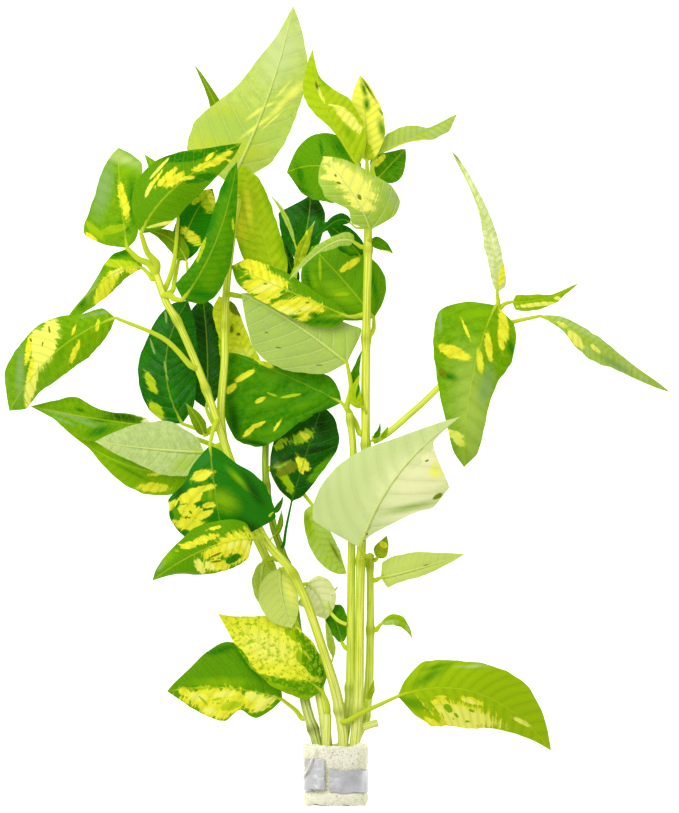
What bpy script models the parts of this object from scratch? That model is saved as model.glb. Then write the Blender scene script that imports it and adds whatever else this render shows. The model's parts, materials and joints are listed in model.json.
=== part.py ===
# A bunch of cut, variegated hygrophila stems for an aquarium.
# The cut ends sit in a roll of foam that a soft metal strip holds together.
# The bunch lies on a flat surface, stems along Y, shoot tips towards +Y, cut ends towards -Y.
# Lengths and places below are millimetres, X to the right, Y along the stems, Z up from the surface.

import bpy
import bmesh
import math
from mathutils import Vector

MM = 0.001

# Driving dimensions
CUT_END = -171.0
COLLAR_LENGTH = 25.5
COLLAR_WIDTH = 28.5
COLLAR_HEIGHT = 22.4
COLLAR_PRESSED = 1.2
COLLAR_CENTRE_X = -1.3
COLLAR_LIP = 1.0
COLLAR_SQUARENESS = 0.8
COLLAR_POINTS = 40
BORE_WIDTH = 23.4
BORE_HEIGHT = 14.6
STRIP_WIDTH = 10.4
STRIP_THICKNESS = 0.45
STRIP_INSET = 0.4
STRIP_BITE = 0.4
STRIP_MARGIN = 0.5
STRIP_SHOULDER = 1.0
TAB_LENGTH = 13.2
TAB_LIFT = 0.8
TAB_STATIONS = 6
FIT_GAP = 0.3
BLADE_THICKNESS = 0.6
STALK_RADIUS = 1.0
STEM_RADIUS = 2.1

# Colours, linear red, green and blue
DARK_GREEN = (0.012, 0.115, 0.004)
LEAF_GREEN = (0.085, 0.30, 0.006)
YELLOW_GREEN = (0.30, 0.50, 0.010)
BLOTCH_YELLOW = (0.80, 0.80, 0.055)
PALE_UNDERSIDE = (0.42, 0.58, 0.20)
STEM_GREEN = (0.50, 0.58, 0.12)
OLIVE_GREEN = (0.28, 0.36, 0.04)
FOAM_CREAM = (0.78, 0.76, 0.66)
STRIP_GREY = (0.42, 0.43, 0.45)

UP = Vector((0.0, 0.0, 1.0))


def clear_scene():
    for old in list(bpy.data.objects):
        bpy.data.objects.remove(old, do_unlink=True)


def make_material(name, colour, roughness, metallic=0.0):
    material = bpy.data.materials.new(name)
    material.use_nodes = True
    shader = material.node_tree.nodes["Principled BSDF"]
    shader.inputs["Base Color"].default_value = (*colour, 1.0)
    shader.inputs["Roughness"].default_value = roughness
    shader.inputs["Metallic"].default_value = metallic
    material.diffuse_color = (*colour, 1.0)
    return material


def add_object(name, data, material):
    obj = bpy.data.objects.new(name, data)
    data.materials.append(material)
    bpy.context.scene.collection.objects.link(obj)
    return obj


def add_mesh(name, bm, material, sharp_angle=60.0):
    bmesh.ops.recalc_face_normals(bm, faces=bm.faces)
    bmesh.ops.scale(bm, vec=(MM, MM, MM), verts=bm.verts)
    mesh = bpy.data.meshes.new(name)
    bm.to_mesh(mesh)
    bm.free()
    mesh.shade_smooth()
    mesh.set_sharp_from_angle(angle=math.radians(sharp_angle))
    return add_object(name, mesh, material)


# Stems

def smooth_route(points, spacing):
    """Points about one spacing apart on a smooth curve through the given points."""
    knots = [Vector(p) for p in points]
    knots = [2 * knots[0] - knots[1]] + knots + [2 * knots[-1] - knots[-2]]
    route = []
    for a, b, c, d in zip(knots, knots[1:], knots[2:], knots[3:]):
        steps = max(1, round((c - b).length / spacing))
        for i in range(steps):
            t = i / steps
            route.append(0.5 * (2 * b + (c - a) * t + (2 * a - 5 * b + 4 * c - d) * t ** 2
                                + (3 * b - a - 3 * c + d) * t ** 3))
    route.append(knots[-2])
    return route


def stem(name, points, radius, tip_radius, colour=STEM_GREEN, spacing=15.0):
    """A round stem that tapers from the cut end to its tip."""
    route = smooth_route(points, spacing)
    curve = bpy.data.curves.new(name, "CURVE")
    curve.dimensions = "3D"
    curve.bevel_depth = radius * MM
    curve.bevel_resolution = 2
    curve.use_fill_caps = True
    spline = curve.splines.new("POLY")
    spline.points.add(len(route) - 1)
    for i, place in enumerate(route):
        along = i / (len(route) - 1)
        spline.points[i].co = (*(place * MM), 1.0)
        spline.points[i].radius = 1.0 + (tip_radius / radius - 1.0) * along
    return add_object(name, curve, make_material(name, colour, 0.45))


# Leaves

BLADE_STATIONS = (0.0, 0.08, 0.2, 0.35, 0.52, 0.7, 0.87)
STALK_STATIONS = (0.0, 0.55)
BASE_ROUNDING = 0.1
HALF_ACROSS = (1.0, 0.5, 0.0, -0.5, -1.0)


def through(first, middle, last, t):
    """Point and direction on the parabola that meets the middle point halfway."""
    control = 2 * middle - (first + last) / 2
    place = first * (1 - t) ** 2 + control * 2 * t * (1 - t) + last * t ** 2
    heading = (control - first) * (1 - t) + (last - control) * t
    return place, heading.normalized()


def half_width(along, widest, point):
    """Leaf outline from 0 at the base over 1 at the widest place to 0 at the tip."""
    if along <= 0.0 or along >= 1.0:
        return 0.0
    base_power = point * widest / (1 - widest)
    return (along / widest) ** base_power * ((1 - along) / (1 - widest)) ** point


def leaf_ring(place, heading, left, right, left_rise, right_rise, bulge, thickness, roundness):
    """Eight points round the leaf: four on its top and sides, and the matching ones below."""
    side = Vector((-heading.y, heading.x, 0.0)).normalized()
    top_row = []
    low_row = []
    for across in HALF_ACROSS:
        width = left if across > 0 else right
        rise = left_rise if across > 0 else right_rise
        reach = abs(across)
        lift = rise * reach + bulge * 4 * reach * (1 - reach)
        if across == 0.0:
            slope = side * (left + right) + UP * (left_rise - right_rise)
        else:
            slope = side * width + UP * rise * (1 if across > 0 else -1)
        normal = heading.cross(slope).normalized()
        flat = place + side * width * across + UP * lift
        half_thick = thickness / 2 * (1.0 if across == 0.0 else 0.8)
        angle = math.radians(90 - 90 * across)
        tube = place + side * STALK_RADIUS * math.cos(angle)
        tube_lift = normal * STALK_RADIUS * math.sin(angle)
        centre = flat.lerp(tube, roundness)
        offset = (normal * half_thick).lerp(tube_lift, roundness)
        if reach == 1.0:
            offset = Vector()
        top_row.append(centre + offset)
        low_row.append(centre - offset)
    return top_row, low_row


def leaf(name, start, base, mid, tip, left, right, rise=(0.0, 0.0), widest=(0.38, 0.38),
         point=1.15, bulge=0.6, colour=LEAF_GREEN):
    """One leaf with its stalk, a closed thin solid.

    All lengths are millimetres, and shares run from 0 at the blade's base to 1 at its tip.
    start is the stalk's end at the stem, base where the blade begins, mid a place halfway on
    the midrib; left and right are the half widths seen from above, looking from base to tip,
    and rise is how far each side edge stands above the midrib where the blade is widest."""
    start, base, mid, tip = Vector(start), Vector(base), Vector(mid), Vector(tip)
    _, first_heading = through(base, mid, tip, 0.0)
    bend = (base + start) / 2 - first_heading * (base - start).length * 0.12
    rings = []
    for t in STALK_STATIONS:
        place, heading = through(start, bend, base, t)
        rings.append(leaf_ring(place, heading, STALK_RADIUS, STALK_RADIUS, 0, 0, 0,
                               BLADE_THICKNESS, 1.0))
    left_point, right_point = point if isinstance(point, tuple) else (point, point)
    for t in BLADE_STATIONS:
        place, heading = through(base, mid, tip, t)
        left_share = half_width(t, widest[0], left_point)
        right_share = half_width(t, widest[1], right_point)
        roundness = max(0.0, 1.0 - t / BASE_ROUNDING)
        rings.append(leaf_ring(place, heading, max(left * left_share, 0.6),
                               max(right * right_share, 0.6), rise[0] * left_share,
                               rise[1] * right_share, bulge * (left_share + right_share) / 2,
                               BLADE_THICKNESS, roundness))
    bm = bmesh.new()
    rows = []
    for top_row, low_row in rings:
        top = [bm.verts.new(p) for p in top_row]
        low = [top[0]] + [bm.verts.new(p) for p in low_row[1:-1]] + [top[-1]]
        rows.append((top, low))
    end = bm.verts.new(tip)
    for (top_a, low_a), (top_b, low_b) in zip(rows, rows[1:]):
        for j in range(len(HALF_ACROSS) - 1):
            bm.faces.new((top_a[j], top_a[j + 1], top_b[j + 1]))
            bm.faces.new((top_a[j], top_b[j + 1], top_b[j]))
            bm.faces.new((low_a[j + 1], low_a[j], low_b[j + 1]))
            bm.faces.new((low_b[j + 1], low_a[j], low_b[j]))
    first_top, first_low = rows[0]
    bm.faces.new(first_top[::-1] + first_low[1:-1])
    last_top, last_low = rows[-1]
    for j in range(len(HALF_ACROSS) - 1):
        bm.faces.new((last_top[j], last_top[j + 1], end))
        bm.faces.new((last_low[j + 1], last_low[j], end))
    return add_mesh(name, bm, make_material(name, colour, 0.4), sharp_angle=80.0)


# Collar: the foam roll and the metal strip round it

def soft_rectangle(width, height, centre_z):
    """Points (x, z) on a rectangle with very round corners, anticlockwise from its top."""
    outline = []
    for i in range(COLLAR_POINTS):
        angle = 2 * math.pi * (i + 0.5) / COLLAR_POINTS + math.pi / 2
        across, upward = math.cos(angle), math.sin(angle)
        outline.append((COLLAR_CENTRE_X
                        + width / 2 * math.copysign(abs(across) ** COLLAR_SQUARENESS, across),
                        centre_z
                        + height / 2 * math.copysign(abs(upward) ** COLLAR_SQUARENESS, upward)))
    return outline


def collar_outline(inset, floor):
    """The collar's cross section, pressed flat where it lies."""
    outline = soft_rectangle(COLLAR_WIDTH - 2 * inset, COLLAR_HEIGHT + COLLAR_PRESSED - 2 * inset,
                             (COLLAR_HEIGHT - COLLAR_PRESSED) / 2)
    return [(x, max(z, floor)) for x, z in outline]


def bridge_rings(bm, rings, closed):
    """Quads between neighbouring rings, and back to the first ring where closed."""
    pairs = list(zip(rings, rings[1:] + rings[:1]))
    if not closed:
        pairs = pairs[:-1]
    for ring_a, ring_b in pairs:
        for i in range(len(ring_a)):
            j = (i + 1) % len(ring_a)
            bm.faces.new((ring_a[i], ring_a[j], ring_b[j], ring_b[i]))


COLLAR_TOP = -145.0
COLLAR_END = COLLAR_TOP - COLLAR_LENGTH
STRIP_TOP = -154.6
STRIP_END = STRIP_TOP - STRIP_WIDTH


def foam_collar():
    """The foam roll, bulging a little above and below the strip that squeezes it."""
    squeezed = STRIP_THICKNESS + FIT_GAP
    bitten = squeezed + STRIP_BITE
    shoulder = STRIP_MARGIN + STRIP_SHOULDER
    profile = ((COLLAR_TOP, COLLAR_LIP, 0.8 * COLLAR_LIP),
               (COLLAR_TOP - COLLAR_LIP, 0.2 * COLLAR_LIP, 0.0),
               (STRIP_TOP + shoulder, 0.0, 0.0), (STRIP_TOP + STRIP_MARGIN, bitten, squeezed),
               (STRIP_END - STRIP_MARGIN, bitten, squeezed), (STRIP_END - shoulder, 0.0, 0.0),
               (COLLAR_END + COLLAR_LIP, 0.2 * COLLAR_LIP, 0.0),
               (COLLAR_END, COLLAR_LIP, 0.8 * COLLAR_LIP))
    bore = soft_rectangle(BORE_WIDTH, BORE_HEIGHT, COLLAR_HEIGHT / 2)
    bm = bmesh.new()
    rings = []
    for y, inset, floor in profile:
        rings.append([bm.verts.new((x, y, z)) for x, z in collar_outline(inset, floor)])
    for y in (COLLAR_END, COLLAR_TOP):
        rings.append([bm.verts.new((x, y, z)) for x, z in bore])
    bridge_rings(bm, rings, closed=True)
    return add_mesh("foam_collar", bm, make_material("foam_collar", FOAM_CREAM, 0.95))


def metal_strip():
    """The soft metal strip: once round the foam, open at the front, its end a longer tab."""
    plain = (collar_outline(STRIP_INSET, 0.0),
             collar_outline(STRIP_INSET + STRIP_THICKNESS, STRIP_THICKNESS))
    lifted = (collar_outline(-TAB_LIFT, 0.0),
              collar_outline(STRIP_THICKNESS - TAB_LIFT, STRIP_THICKNESS))
    count = len(plain[0])
    bm = bmesh.new()
    rings = []
    for i in [0] + list(range(count - 1, 0, -1)):
        is_tab = 1 <= i <= TAB_STATIONS
        outer, inner = lifted if is_tab else plain
        top = STRIP_TOP
        if is_tab and i < TAB_STATIONS:
            top += TAB_LENGTH - STRIP_WIDTH
        rings.append([bm.verts.new(p) for p in ((outer[i][0], top, outer[i][1]),
                                                (outer[i][0], STRIP_END, outer[i][1]),
                                                (inner[i][0], STRIP_END, inner[i][1]),
                                                (inner[i][0], top, inner[i][1]))])
    bridge_rings(bm, rings, closed=False)
    bm.faces.new(rings[0])
    bm.faces.new(rings[-1])
    return add_mesh("metal_strip", bm, make_material("metal_strip", STRIP_GREY, 0.38, 1.0), 40.0)


clear_scene()
foam_collar()
metal_strip()

# Stems, from their cut ends in the collar to their tips
stem("left_stem", [(-1.5, CUT_END, 12.9), (-0.5, -156, 12.9), (2, -144, 13.4), (1, -134, 15),
                   (-1.5, -121, 19), (-8, -100, 23), (-14, -83, 26), (-20.5, -70, 28),
                   (-32.5, -55, 29), (-45.5, -24.5, 31), (-52.5, -4, 34), (-59, 14, 36),
                   (-67.5, 34, 39), (-73, 43.5, 40), (-77.5, 56, 41)], STEM_RADIUS, 1.3)
stem("pale_stem", [(-4, CUT_END, 8), (-4.3, -156, 8), (-5, -144, 8.5), (-8.5, -121, 10),
                   (-16.5, -100, 10), (-26.5, -74.5, 10), (-38.5, -49, 13), (-47, -23.5, 19),
                   (-50, -4, 26), (-48.5, 19, 28), (-48, 44.5, 29), (-45.5, 70, 28),
                   (-42.5, 88, 26)], STEM_RADIUS, 1.4)
stem("olive_stem", [(-8.8, CUT_END, 8), (-8.8, -156, 8), (-9.4, -144, 8.8), (-14.5, -125.5, 8),
                    (-17, -100, 5), (-20.5, -74.5, 6), (-24, -63, 9), (-28, -51, 10),
                    (-31, -32, 11), (-31, -15, 11), (-29, 10.5, 11), (-24, 36, 14),
                    (-20.5, 50, 17)], STEM_RADIUS, 1.2, OLIVE_GREEN)
stem("right_stem", [(3.2, CUT_END, 12.9), (4.2, -156, 12.9), (7, -144, 13.4), (8.5, -121, 18),
                    (9, -91.5, 22), (9.5, -66, 26), (11, -40.5, 29), (11.5, -19, 32),
                    (11.5, 10.5, 36), (12, 44.5, 40), (12.5, 70, 43), (12, 93, 44)],
     STEM_RADIUS, 1.3)
stem("middle_stem", [(0.7, CUT_END, 8), (0.9, -156, 8), (2, -144, 8.5), (4, -131, 10.5),
                     (5, -121, 12.5), (5.2, -100, 17), (5.5, -66, 22), (6, -40.5, 26),
                     (6.2, -19, 31), (4.5, -3, 35)], STEM_RADIUS, 1.5)
stem("outer_stem", [(5.5, CUT_END, 8), (5.6, -156, 8), (7, -144, 8), (11, -134, 8.5),
                    (12.8, -121, 10), (13.5, -100, 13), (13.5, -78.5, 18), (13.3, -64, 22)],
     STEM_RADIUS, 1.5)
stem("short_stem", [(-6.2, CUT_END, 12.9), (-5.8, -156, 12.9), (-5.2, -144, 13.4),
                    (-4.8, -132, 13)], STEM_RADIUS, 1.6)
stem("side_branch", [(14.5, -15, 32.5), (20, -12.5, 32), (28.5, -5.5, 29), (42, 7, 24),
                     (56, 23.5, 21), (67, 39.5, 21)], 1.5, 1.0)

# Leaves of the left shoot, from its tip down
leaf("left_shoot_front_leaf", (-77, 60, 43.5), (-83.5, 72.5, 50), (-69, 92, 53),
     (-41, 111, 45), 12, 14, rise=(-4, -3), widest=(0.3, 0.5), point=0.75, colour=LEAF_GREEN)
leaf("left_shoot_outer_leaf", (-80.5, 60, 40), (-89.5, 66.5, 42), (-92.5, 89, 38),
     (-93.5, 109.5, 27), 16.5, 8, rise=(-3, 1), widest=(0.1, 0.4), point=0.6,
     colour=DARK_GREEN)
leaf("left_shoot_upright_leaf", (-71.5, 46.5, 43), (-66, 44.5, 47), (-51.5, 70, 51),
     (-43, 103, 43), 7.5, 11, rise=(-2, -3), widest=(0.3, 0.22), point=1.0,
     colour=LEAF_GREEN)
leaf("left_shoot_inner_leaf", (-70.5, 48.5, 36.5), (-68, 61, 34), (-62.5, 78, 35),
     (-53.5, 92, 34), 6.5, 8, rise=(-1, -1), point=0.8, colour=DARK_GREEN)
leaf("left_shoot_hidden_leaf", (-73.5, 49.5, 38), (-68, 79, 40), (-74, 94, 42),
     (-82.5, 106.5, 40), 4.5, 4.5, colour=YELLOW_GREEN)
leaf("left_arching_leaf", (-79, 53.5, 38.5), (-83, 58, 37), (-97, 55, 33),
     (-116, 37, 16), 6.5, 5, rise=(-4, -3), point=0.9, colour=LEAF_GREEN)
leaf("far_left_leaf", (-62.5, 16.5, 38.2), (-94.5, 37, 41), (-120, 22.5, 34),
     (-140.87, -2.5, 4), 9.5, 12, rise=(-3, -5), widest=(0.4, 0.55), point=0.7,
     colour=LEAF_GREEN)
leaf("left_broad_leaf", (-52, -7.5, 37), (-54.5, -17, 42), (-52, -38, 44),
     (-48.5, -60, 35), 26, 19.5, rise=(-6, -6), widest=(0.55, 0.55), point=0.65,
     colour=DARK_GREEN)
leaf("left_lower_leaf", (-32.5, -56, 32), (-36, -56.5, 45), (-56.5, -61, 50),
     (-79, -74.5, 40), 10.5, 11, rise=(-3, -3), point=0.9, colour=LEAF_GREEN)
leaf("left_pale_leaf", (-52, -17.5, 29.5), (-57, -20, 33), (-80, -18.5, 33),
     (-103.5, -15.5, 26), 10.5, 11.5, rise=(-2, 1), widest=(0.3, 0.35), point=0.7,
     colour=PALE_UNDERSIDE)
leaf("folded_young_leaf", (-54.5, -10, 30), (-57, -13, 34), (-60, -6, 36),
     (-65, 1, 35), 3, 2.5, colour=OLIVE_GREEN)
leaf("left_under_leaf", (-48.5, -29, 24), (-60.5, -27, 20), (-89.5, -26, 10),
     (-120, -7.5, 1), 12, 9.5, rise=(-2, 1), widest=(0.3, 0.3), point=(2.0, 1.2),
     colour=LEAF_GREEN)

# Leaves of the pale stem
leaf("top_pale_leaf", (-45.2, 90.5, 23.5), (-46.5, 94, 14.5), (-29.5, 133.5, 16),
     (-19.5, 171.14, 0.2), 25.5, 15, rise=(-5, -4), widest=(0.14, 0.38), point=(1.5, 1.2),
     colour=PALE_UNDERSIDE)
leaf("top_hidden_leaf", (-46.3, 80, 23), (-47.5, 97, 6), (-49, 121, 5),
     (-58.5, 142, 2), 5, 5, colour=YELLOW_GREEN)
leaf("middle_upright_leaf", (-46, 47, 31), (-25, 50, 24), (-34, 78, 23),
     (-41.5, 102.5, 17), 10, 9.5, rise=(-1, -2), widest=(0.4, 0.4), point=0.85,
     colour=YELLOW_GREEN)
leaf("dark_glossy_leaf", (-50.5, -10, 20), (-66.5, -8, 22), (-73.5, 18.5, 24),
     (-64, 44.5, 24), 11.5, 11, rise=(-4, -1), widest=(0.4, 0.4), point=0.8,
     colour=DARK_GREEN)
leaf("dark_narrow_leaf", (-52, -9, 16), (-56.5, -1.5, 15), (-56, 21, 13),
     (-58, 46, 10), 7, 9, rise=(1, -1), point=0.9, colour=DARK_GREEN)
leaf("left_low_leaf", (-49.5, -19, 16), (-79.5, -9, 12), (-105.5, -5.5, 11),
     (-132, -0.5, 0.3), 8.5, 7, rise=(-1, 1), colour=DARK_GREEN)

# Leaves of the olive stem
leaf("yellow_leaf", (-30.8, 9, 13), (-36, 13, 17), (-43, 29, 20), (-51, 46.5, 20),
     9, 9, point=0.9, colour=BLOTCH_YELLOW)
leaf("dark_shoot_leaf", (-21, 52, 16), (-17.5, 61, 16), (-13.5, 75.5, 14),
     (-12, 90, 10), 10.5, 8, widest=(0.55, 0.5), point=0.8, colour=DARK_GREEN)
leaf("young_shoot_leaf", (-19.5, 51.5, 19.5), (-18, 57.5, 21), (-15, 67.5, 22),
     (-10, 78.5, 22), 2.5, 2.5, colour=YELLOW_GREEN)
leaf("blotched_leaf", (-23.5, -60, 11.5), (-20, -41, 14), (-13.5, -20, 16),
     (-7, 0, 12), 14, 14, rise=(-2, -2), widest=(0.38, 0.5), point=0.85,
     colour=DARK_GREEN)
leaf("lower_pale_leaf_left", (-25.6, -66, 10.6), (-32, -66.5, 15), (-33, -78, 15),
     (-30.5, -89, 13), 5.5, 3.8, colour=PALE_UNDERSIDE)
leaf("lower_left_back_leaf", (-15.5, -134, 6), (-24, -126, 6), (-48, -121, 5),
     (-73.5, -122.5, 0.8), 13.5, 18, rise=(-1, -2), point=0.95, colour=LEAF_GREEN)
leaf("middle_low_leaf", (-28.3, -27.5, 10), (-11.3, -42.5, 10), (-7, -59.5, 12),
     (3.5, -72, 11), 5.5, 6.5, point=0.8, colour=LEAF_GREEN)

# Leaves of the right stem
leaf("right_shoot_outer_leaf", (10, 94.5, 47), (8.5, 101, 48), (-5, 125, 48),
     (-11, 151, 37), 7, 10, rise=(-2, -1), widest=(0.5, 0.3), point=(1.05, 1.5),
     colour=YELLOW_GREEN)
leaf("right_shoot_yellow_leaf", (12.5, 95.5, 44), (12, 103, 44), (11.5, 121, 43),
     (9, 140, 36), 7, 9, rise=(-1, -1), point=1.0, colour=BLOTCH_YELLOW)
leaf("right_shoot_narrow_leaf", (15, 95, 41.5), (16, 106.5, 40), (34, 114.5, 34),
     (50.5, 124, 22), 4.5, 4, widest=(0.45, 0.55), point=0.9, colour=YELLOW_GREEN)
leaf("right_shoot_dark_leaf", (14.5, 90, 39.5), (16.5, 96, 35), (22, 102, 31),
     (28.5, 109, 25), 6, 6, point=0.8, colour=DARK_GREEN)
leaf("right_shoot_round_leaf", (9.5, 83, 40), (8, 91, 37), (-5.5, 101, 35),
     (-22, 99, 26), 14.5, 14.5, rise=(-3, -3), widest=(0.5, 0.5), point=0.6,
     colour=LEAF_GREEN)
leaf("right_shoot_pale_leaf", (13, 70, 46.5), (13.5, 74, 52), (6, 89, 58),
     (-6.5, 105, 56), 10.5, 17, rise=(-1, -4), widest=(0.68, 0.25), point=(0.55, 0.85),
     colour=PALE_UNDERSIDE)
leaf("middle_narrow_leaf", (9.5, 67, 42.5), (6.5, 69, 44), (-4.5, 67.5, 46),
     (-21, 53, 47), 3.6, 3.4, widest=(0.3, 0.3), point=0.9, colour=PALE_UNDERSIDE)
leaf("middle_golden_leaf", (9, 38, 38.5), (4, 37.5, 42), (-17, 46.5, 45),
     (-45.5, 59, 41), 10.5, 6, rise=(-3, -3), point=0.9, colour=BLOTCH_YELLOW)
leaf("middle_broad_leaf", (13.5, 30, 36), (15, 37, 30), (2.5, 52.5, 29),
     (-11.5, 67.5, 24), 14, 14, rise=(-2, -2), widest=(0.42, 0.38), point=0.75,
     colour=LEAF_GREEN)
leaf("middle_dark_leaf", (9, -12, 31), (2, 1.5, 28), (-25, 6, 25), (-48.5, 4.5, 19),
     23.5, 11, rise=(-5, -2), widest=(0.6, 0.55), point=0.55, colour=DARK_GREEN)

# Leaves of the middle stem
leaf("middle_pale_leaf", (3.5, -0.5, 36.5), (3.6, 17.9, 38), (-19.5, 35, 37.5),
     (-41.5, 47.5, 35), 18, 16, rise=(-3, -4), widest=(0.4, 0.2), point=0.9,
     colour=PALE_UNDERSIDE)
leaf("small_dark_leaf", (3, -103.5, 15), (1.5, -101.5, 13), (-0.5, -94.5, 12),
     (-4, -85.5, 11), 4, 3.5, colour=DARK_GREEN)

# Leaves of the outer stem
leaf("front_pale_leaf", (13.9, -64.3, 24.9), (9, -60.5, 36.5), (25, -29.5, 45),
     (51.5, -5, 41), 26, 21, rise=(-5, -3), widest=(0.12, 0.55), point=(1.15, 2.0),
     colour=PALE_UNDERSIDE)
leaf("right_low_leaf", (16.2, -74.5, 19.2), (18, -73.5, 21), (34.5, -69.5, 23),
     (54, -63.5, 17), 5, 5.5, point=1.0, colour=PALE_UNDERSIDE)
leaf("small_olive_leaf", (15.7, -66, 22.3), (16.5, -65, 24), (18.5, -61, 26),
     (20.5, -55.5, 27), 3.2, 3.2, colour=OLIVE_GREEN)
leaf("small_curled_leaf", (16.2, -96, 14.5), (18, -93.5, 15.5), (26, -92, 17),
     (31.5, -100, 13), 2.3, 2.5, colour=OLIVE_GREEN)

# Leaves of the left stem close to the collar, and one of the short stem
leaf("lower_pale_leaf_front", (-19.5, -73.5, 24.5), (-25, -69.5, 21), (-24, -82, 21),
     (-20, -95, 19), 7.5, 7.5, point=0.7, colour=PALE_UNDERSIDE)
leaf("lower_pale_leaf_right", (-16.5, -78, 23), (-13.5, -76, 19), (-8.5, -81.5, 17),
     (-5.5, -91.5, 14), 7.5, 7, point=0.7, colour=PALE_UNDERSIDE)
leaf("lower_left_front_leaf", (-4.5, -130.5, 13.5), (-7, -122, 15), (-27.5, -106.5, 17),
     (-51.5, -89, 12), 12.5, 13, rise=(-1, -1), widest=(0.35, 0.42), point=0.75,
     colour=BLOTCH_YELLOW)
leaf("lower_right_leaf", (3, -135, 18), (25, -124, 24), (60, -123, 24),
     (91, -148, 0.3), 14, 16, rise=(-2, -2), widest=(0.38, 0.35), point=0.85,
     colour=LEAF_GREEN)

# Leaves of the side branch
leaf("branch_broad_leaf", (67.5, 39, 24), (67, 42.5, 27), (57, 12, 31), (53.5, -26.5, 18),
     14, 23, rise=(-3, -5), widest=(0.35, 0.15), point=(0.65, 0.9), colour=LEAF_GREEN)
leaf("branch_narrow_leaf", (68, 44, 22), (67.5, 48, 23), (63.5, 74.5, 21), (48, 109, 8),
     3, 3.8, colour=YELLOW_GREEN)
leaf("branch_small_leaf", (70.5, 43, 20.5), (74, 44, 20), (87, 45.5, 18), (102.5, 52, 12),
     2.5, 3.2, point=0.9, colour=LEAF_GREEN)
leaf("branch_far_leaf", (65, 30, 19.5), (86, 38, 22), (112, 25, 21), (142, 5.5, 0.3),
     5.5, 5.5, rise=(-1, -1), widest=(0.5, 0.55), point=1.3, colour=LEAF_GREEN)
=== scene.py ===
import json
import math

import bmesh
import bpy
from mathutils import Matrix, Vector, noise


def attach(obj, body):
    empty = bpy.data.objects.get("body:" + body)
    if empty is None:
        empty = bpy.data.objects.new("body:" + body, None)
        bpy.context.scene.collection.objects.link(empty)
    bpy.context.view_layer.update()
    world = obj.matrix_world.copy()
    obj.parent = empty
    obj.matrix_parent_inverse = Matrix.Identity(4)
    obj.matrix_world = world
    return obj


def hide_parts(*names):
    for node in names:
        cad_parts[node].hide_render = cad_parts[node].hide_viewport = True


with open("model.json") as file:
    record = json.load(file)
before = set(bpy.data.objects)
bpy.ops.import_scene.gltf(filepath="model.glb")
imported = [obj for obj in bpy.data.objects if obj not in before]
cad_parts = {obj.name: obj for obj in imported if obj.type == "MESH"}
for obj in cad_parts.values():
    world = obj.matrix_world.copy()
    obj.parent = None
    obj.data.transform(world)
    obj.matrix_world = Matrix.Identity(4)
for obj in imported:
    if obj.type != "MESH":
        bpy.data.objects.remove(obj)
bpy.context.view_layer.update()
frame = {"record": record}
solid_slots = {row["node"]: row["material_slot"] for row in frame["record"]["subparts"]}


# Stems
# Cut, slightly ribbed green stems, thicker at each joint where a pair of leaves grows, with a
# painted highlight along their tops.
# They run from the foam collar up through the bunch, and their cut feet are paler and swollen.

MM = 0.001
STEM_RADIUS = 2.1
STEM_SIDES = 20
STEM_STEP = 1.6
STEM_RIB = 0.035
JOINT_SWELLING = 0.28
JOINT_REACH = 2.2
CUT_END = -171.0
FOOT_TOP = -100.0
FOOT_REACH = 38.0
SWELLING_TOP = -105.0
SWELLING_REACH = 20.0
FOOT_SWELLING = 0.16
SMOOTH_UP_TO = math.radians(60)


def smooth_route(points, spacing):
    """Points about one spacing apart on a smooth curve through the given points."""
    knots = [Vector(p) for p in points]
    knots = [2 * knots[0] - knots[1]] + knots + [2 * knots[-1] - knots[-2]]
    route = []
    for a, b, c, d in zip(knots, knots[1:], knots[2:], knots[3:]):
        steps = max(1, round((c - b).length / spacing))
        for i in range(steps):
            t = i / steps
            route.append(0.5 * (2 * b + (c - a) * t + (2 * a - 5 * b + 4 * c - d) * t ** 2
                                + (3 * b - a - 3 * c + d) * t ** 3))
    route.append(knots[-2])
    return route


def headings(route):
    """The direction in which the route runs at each of its points."""
    around = [route[0]] + list(route) + [route[-1]]
    return [(after - before).normalized() for before, after in zip(around, around[2:])]


def add_tube(bm, route, radii, sides, ribs=0.0, rib_count=4):
    """A round bar along the route, rolled up from a grid, with its ends closed."""
    made = bmesh.ops.create_grid(bm, x_segments=sides, y_segments=len(route) - 1, size=0.5,
                                 calc_uvs=True)
    length = sum((b - a).length for a, b in zip(route, route[1:]))
    ways = headings(route)
    uv = bm.loops.layers.uv.active
    faces = {face for vert in made["verts"] for face in vert.link_faces}
    for face in faces:
        for loop in face.loops:
            loop[uv].uv.y *= length / 100
    side = ways[0].orthogonal().normalized()
    sides_along = []
    for way in ways:
        side = (side - way * side.dot(way)).normalized()
        sides_along.append(side)
    for vert in made["verts"]:
        step = round((vert.co.y + 0.5) * (len(route) - 1))
        turn = 2 * math.pi * (vert.co.x + 0.5)
        radius = radii[step] * (1 + ribs * math.cos(rib_count * turn))
        across = sides_along[step]
        other = ways[step].cross(across)
        vert.co = route[step] + (across * math.cos(turn) + other * math.sin(turn)) * radius
    bmesh.ops.remove_doubles(bm, verts=made["verts"], dist=0.001)
    edges = [edge for edge in bm.edges if edge.is_boundary]
    bmesh.ops.holes_fill(bm, edges=edges, sides=0)


def add_piece(name, bm, material, node):
    """Makes the finished piece with the given material and lets it ride with the bunch. It stands
    for its solid, if it has one, which it hides."""
    bmesh.ops.scale(bm, vec=(MM, MM, MM), verts=bm.verts)
    mesh = bpy.data.meshes.new(name)
    bm.to_mesh(mesh)
    bm.free()
    mesh.shade_smooth()
    mesh.set_sharp_from_angle(angle=SMOOTH_UP_TO)
    mesh.materials.append(material)
    piece = bpy.data.objects.new(name, mesh)
    bpy.context.scene.collection.objects.link(piece)
    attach(piece, "root")
    if node in solid_slots:
        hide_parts(node)


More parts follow.
